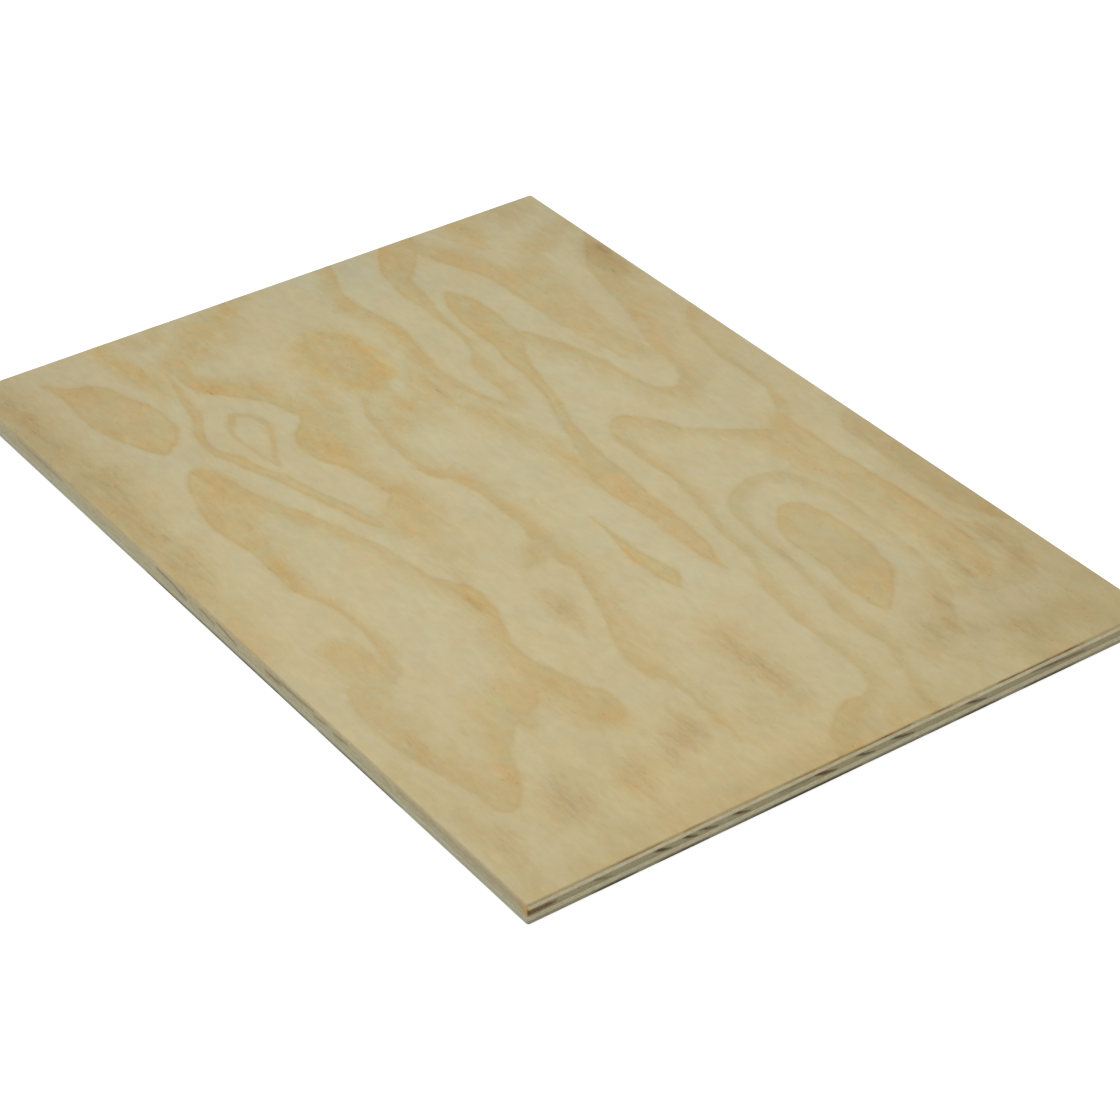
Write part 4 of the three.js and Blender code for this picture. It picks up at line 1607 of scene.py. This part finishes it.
def pine_finish(name, face, long_side, end_side, glue_mm, along_y=False, rough=0.55):
    """A material for one veneer. Each colour pair is (earlywood, latewood)."""
    material, tree, shader = new_material(name)
    place = wood_place(tree, along_y)
    sawn, end_grain = stored(tree, "sawn"), stored(tree, "end_grain")
    tone = stored(tree, "tone")
    long_fibres = fibres(tree, place, 13, 1.3, detail=3, roughness=0.6, distortion=0.4)
    fine_fibres = fibres(tree, place, 3.2, 1.1, detail=1, distortion=1.2)
    clouds = fibres(tree, place, 16, 8, detail=3, roughness=0.6, distortion=0.8)

    threads = [(long_fibres, 0.4), (fine_fibres, 0.4), (clouds, 0.7)]
    frayed = fray(tree, stored(tree, "depth"), threads)
    band = ramp(tree, frayed, -1.5, 1.2)
    latewood = latewood_share(tree, band, frayed, tone, long_fibres)

    early, late = side_colours(tree, sawn, end_grain, face, long_side, end_side)
    late = drift(tree, late, place, LATE_DRIFTS)
    colour = drift(tree, blend(tree, latewood, early, late), place, WOOD_DRIFTS)
    dense = calculate(tree, "MULTIPLY", band, calculate(tree, "SUBTRACT", 1.0, sawn))
    dense = calculate(tree, "MULTIPLY", dense, ramp(tree, tone, 0.0, 0.5))
    colour = glaze(tree, colour, "dense latewood", dense)
    colour = glaze(tree, colour, "cloud", ramp(tree, clouds, 0.3, 0.7))
    # The age glaze darkens the aged zones and the arris line: partly browning, partly painted shade.
    age = ramp(tree, stored(tree, "aged_and_shaded"), 0.0, 1.0)
    colour = glaze(tree, colour, "age", age)
    # The stored tint holds the colour tints and the resin on the edges, and also two tints of painted
    # shade.
    colour = blend(tree, 1.0, colour, stored(tree, "tint", "Vector"), "MULTIPLY")

    colour = show_fibres(tree, colour, long_fibres, fine_fibres, latewood, age)
    colour = end_years(tree, colour, frayed, stored(tree, "crispness"), tone)
    colour = soak(tree, colour, stored(tree, "stain"), long_fibres, fine_fibres)
    colour = show_saw_and_glue(tree, colour, place, sawn, glue_mm)

    roughness = calculate(tree, "MULTIPLY_ADD", latewood, -0.06, rough)  # harder, so smoother
    roughness = calculate(tree, "MULTIPLY_ADD", sawn, 0.25, roughness)
    roughness = calculate(tree, "MULTIPLY_ADD", long_fibres, 0.08, roughness)
    feed(tree, shader.inputs["Base Color"], colour)
    feed(tree, shader.inputs["Roughness"], roughness)
    normal = fine_relief(tree, place, sawn, long_fibres, fine_fibres)
    feed(tree, shader.inputs["Normal"], normal)
    shader.inputs["Specular IOR Level"].default_value = 0.25
    return material


print("pine recipe ready")

# %% The colours of the veneers
# A glue line lies where one veneer ends and the next begins.
tops_mm = [round(1000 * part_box(name)[1].z, 2) for name in VENEERS]
back_glue, lower_glue, upper_glue, face_glue = tops_mm[:-1]
FACE_PINE = (paint(195, 182, 142), paint(200, 176, 120))

sanded_pine = pine_finish(
    "sanded pine", FACE_PINE,
    long_side=(paint(212, 199, 160), paint(185, 158, 110)),
    end_side=(paint(194, 178, 130), paint(134, 96, 40)),
    glue_mm=[face_glue],
)
upper_pine = pine_finish(
    "pine of the upper crossband", FACE_PINE,
    long_side=(paint(212, 203, 169), paint(180, 165, 130)),
    end_side=(paint(200, 188, 153), paint(110, 88, 60)),
    glue_mm=[upper_glue, face_glue], along_y=True,
)
core_pine = pine_finish(
    "pine of the core", FACE_PINE,
    long_side=(paint(196, 187, 154), paint(134, 98, 54)),
    end_side=(paint(170, 160, 125), paint(84, 61, 30)),
    glue_mm=[lower_glue, upper_glue],
)
lower_pine = pine_finish(
    "pine of the lower crossband", FACE_PINE,
    long_side=(paint(200, 194, 162), paint(170, 158, 125)),
    end_side=(paint(199, 196, 167), paint(130, 115, 80)),
    glue_mm=[back_glue, lower_glue], along_y=True,
)
peeled_pine = pine_finish(
    "peeled pine of the back", (paint(192, 178, 138), paint(176, 146, 94)),
    # On the edges its latewood is very dark, for the line along the bottom: partly latewood, partly
    # painted shade under the panel.
    long_side=(paint(198, 195, 172), paint(100, 94, 76)),
    end_side=(paint(164, 159, 134), paint(64, 54, 36)),
    glue_mm=[back_glue], rough=0.68,
)
print("five finishes, and glue at", tops_mm[:-1], "mm")

# %% [markdown]
# ## Make the five veneers
#
# Each veneer is built as a shell, given its figure, worn down by the relief tree, and turned
# into a plain mesh. The piece then takes the place of its CAD solid: it has the same outline
# and heights, so nothing about the size changes. Edges sharper than 35 degrees stay crisp, and
# the rest is shaded smooth.

# %% Make one veneer
ALONG_X = (70.0, 900.0, 900.0)  # fibres 14 mm long and 1.1 mm wide, as counts per metre
ALONG_Y = (900.0, 70.0, 900.0)
CREASE_ANGLE = math.radians(35)


def wear_down(blank, name, finish, relief_mm, fibre_stretch):
    """Runs the relief tree on a blank and returns the result as a finished piece."""
    modifier = blank.modifiers.new("relief", "NODES")
    modifier.node_group = RELIEF
    settings = {"Fibre Stretch": fibre_stretch, "Finish": finish}
    for depth_mm, setting in zip(relief_mm, ("Earlywood Wear", "Fibre Depth", "Saw Depth")):
        settings[setting] = depth_mm / 1000
    for item in RELIEF.interface.items_tree:
        if item.in_out == "INPUT" and item.name in settings:
            modifier[item.identifier] = settings[item.name]
    bpy.context.view_layer.update()
    graph = bpy.context.evaluated_depsgraph_get()
    mesh = bpy.data.meshes.new_from_object(
        blank.evaluated_get(graph), preserve_all_data_layers=True, depsgraph=graph
    )
    mesh.name = name
    mesh.shade_smooth()
    mesh.set_sharp_from_angle(angle=CREASE_ANGLE)
    bpy.data.objects.remove(blank)
    piece = bpy.data.objects.new(name, mesh)
    bpy.context.collection.objects.link(piece)
    return piece


def make_veneer(node, piece_name, slot, finish, pitch_mm, rows, figure, grain="X", **shape):
    """One veneer in the place of its CAD node. Its relief is (earlywood, fibres, saw)."""
    low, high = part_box(node)
    arrises = {key: shape[key] for key in ("bottom_arris", "top_arris") if key in shape}
    rings = wall_rings(1000 * low.z, 1000 * high.z, rows, **arrises)
    mesh, places, outwards, sawn = shell(piece_name, pitch_mm, rings, shape.get("grid_on"))
    mark_wood(mesh, places, outwards, sawn, grain, figure)
    blank = bpy.data.objects.new(piece_name + " blank", mesh)
    bpy.context.collection.objects.link(blank)
    fibre_stretch = ALONG_X if grain == "X" else ALONG_Y
    piece = wear_down(blank, piece_name, finish, shape["relief_mm"], fibre_stretch)
    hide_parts(node)
    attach(piece, "root")
    triangles = sum(len(polygon.vertices) - 2 for polygon in piece.data.polygons)
    print(f"{piece_name}: {triangles} triangles")
    return piece


print("ready to make veneers")

# %% The inner veneers
# Softer wood stands back a little more from the saw, so the plies can be told apart by touch.
EDGE_PITCH_MM = (0.5, 0.5)
make_veneer(
    "lower_crossband", "lower_crossband_ply", "crossband_wood", lower_pine,
    EDGE_PITCH_MM, 5, plain_figure, grain="Y", relief_mm=(0.02, 0.02, 0.06),
)
make_veneer(
    "core_veneer", "core_ply", "core_wood", core_pine,
    EDGE_PITCH_MM, 8, plain_figure, grain="X", relief_mm=(0.04, 0.02, 0.07),
)
make_veneer(
    "upper_crossband", "upper_crossband_ply", "crossband_wood", upper_pine,
    EDGE_PITCH_MM, 5, plain_figure, grain="Y", relief_mm=(0.02, 0.02, 0.06),
)

# %% The back veneer
make_veneer(
    "back_veneer", "peeled_back_ply", "back_wood", peeled_pine,
    (2.0, 1.6), 4, back_figure, bottom_arris=0.3, grid_on="bottom",
    relief_mm=(0.04, 0.06, 0.05),
)

# %% The face veneer
make_veneer(
    "face_veneer", "sanded_face_ply", "face_wood", sanded_pine,
    (1.5, 1.15), 3, face_figure, top_arris=0.45, grid_on="top",
    relief_mm=(0.03, 0.02, 0.04),
)

# %% [markdown]
# ## Check the size
#
# Relief moves points inwards by less than a tenth of a millimetre, so the dressed panel must
# measure the same as the CAD model. The difference along each axis is printed.

# %% Print how much the sizes differ
low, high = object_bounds()
for axis in range(3):
    difference = 1000 * ((high[axis] - low[axis]) - (cad_high[axis] - cad_low[axis]))
    print("XYZ"[axis], f"differs by {difference:.3f} mm")
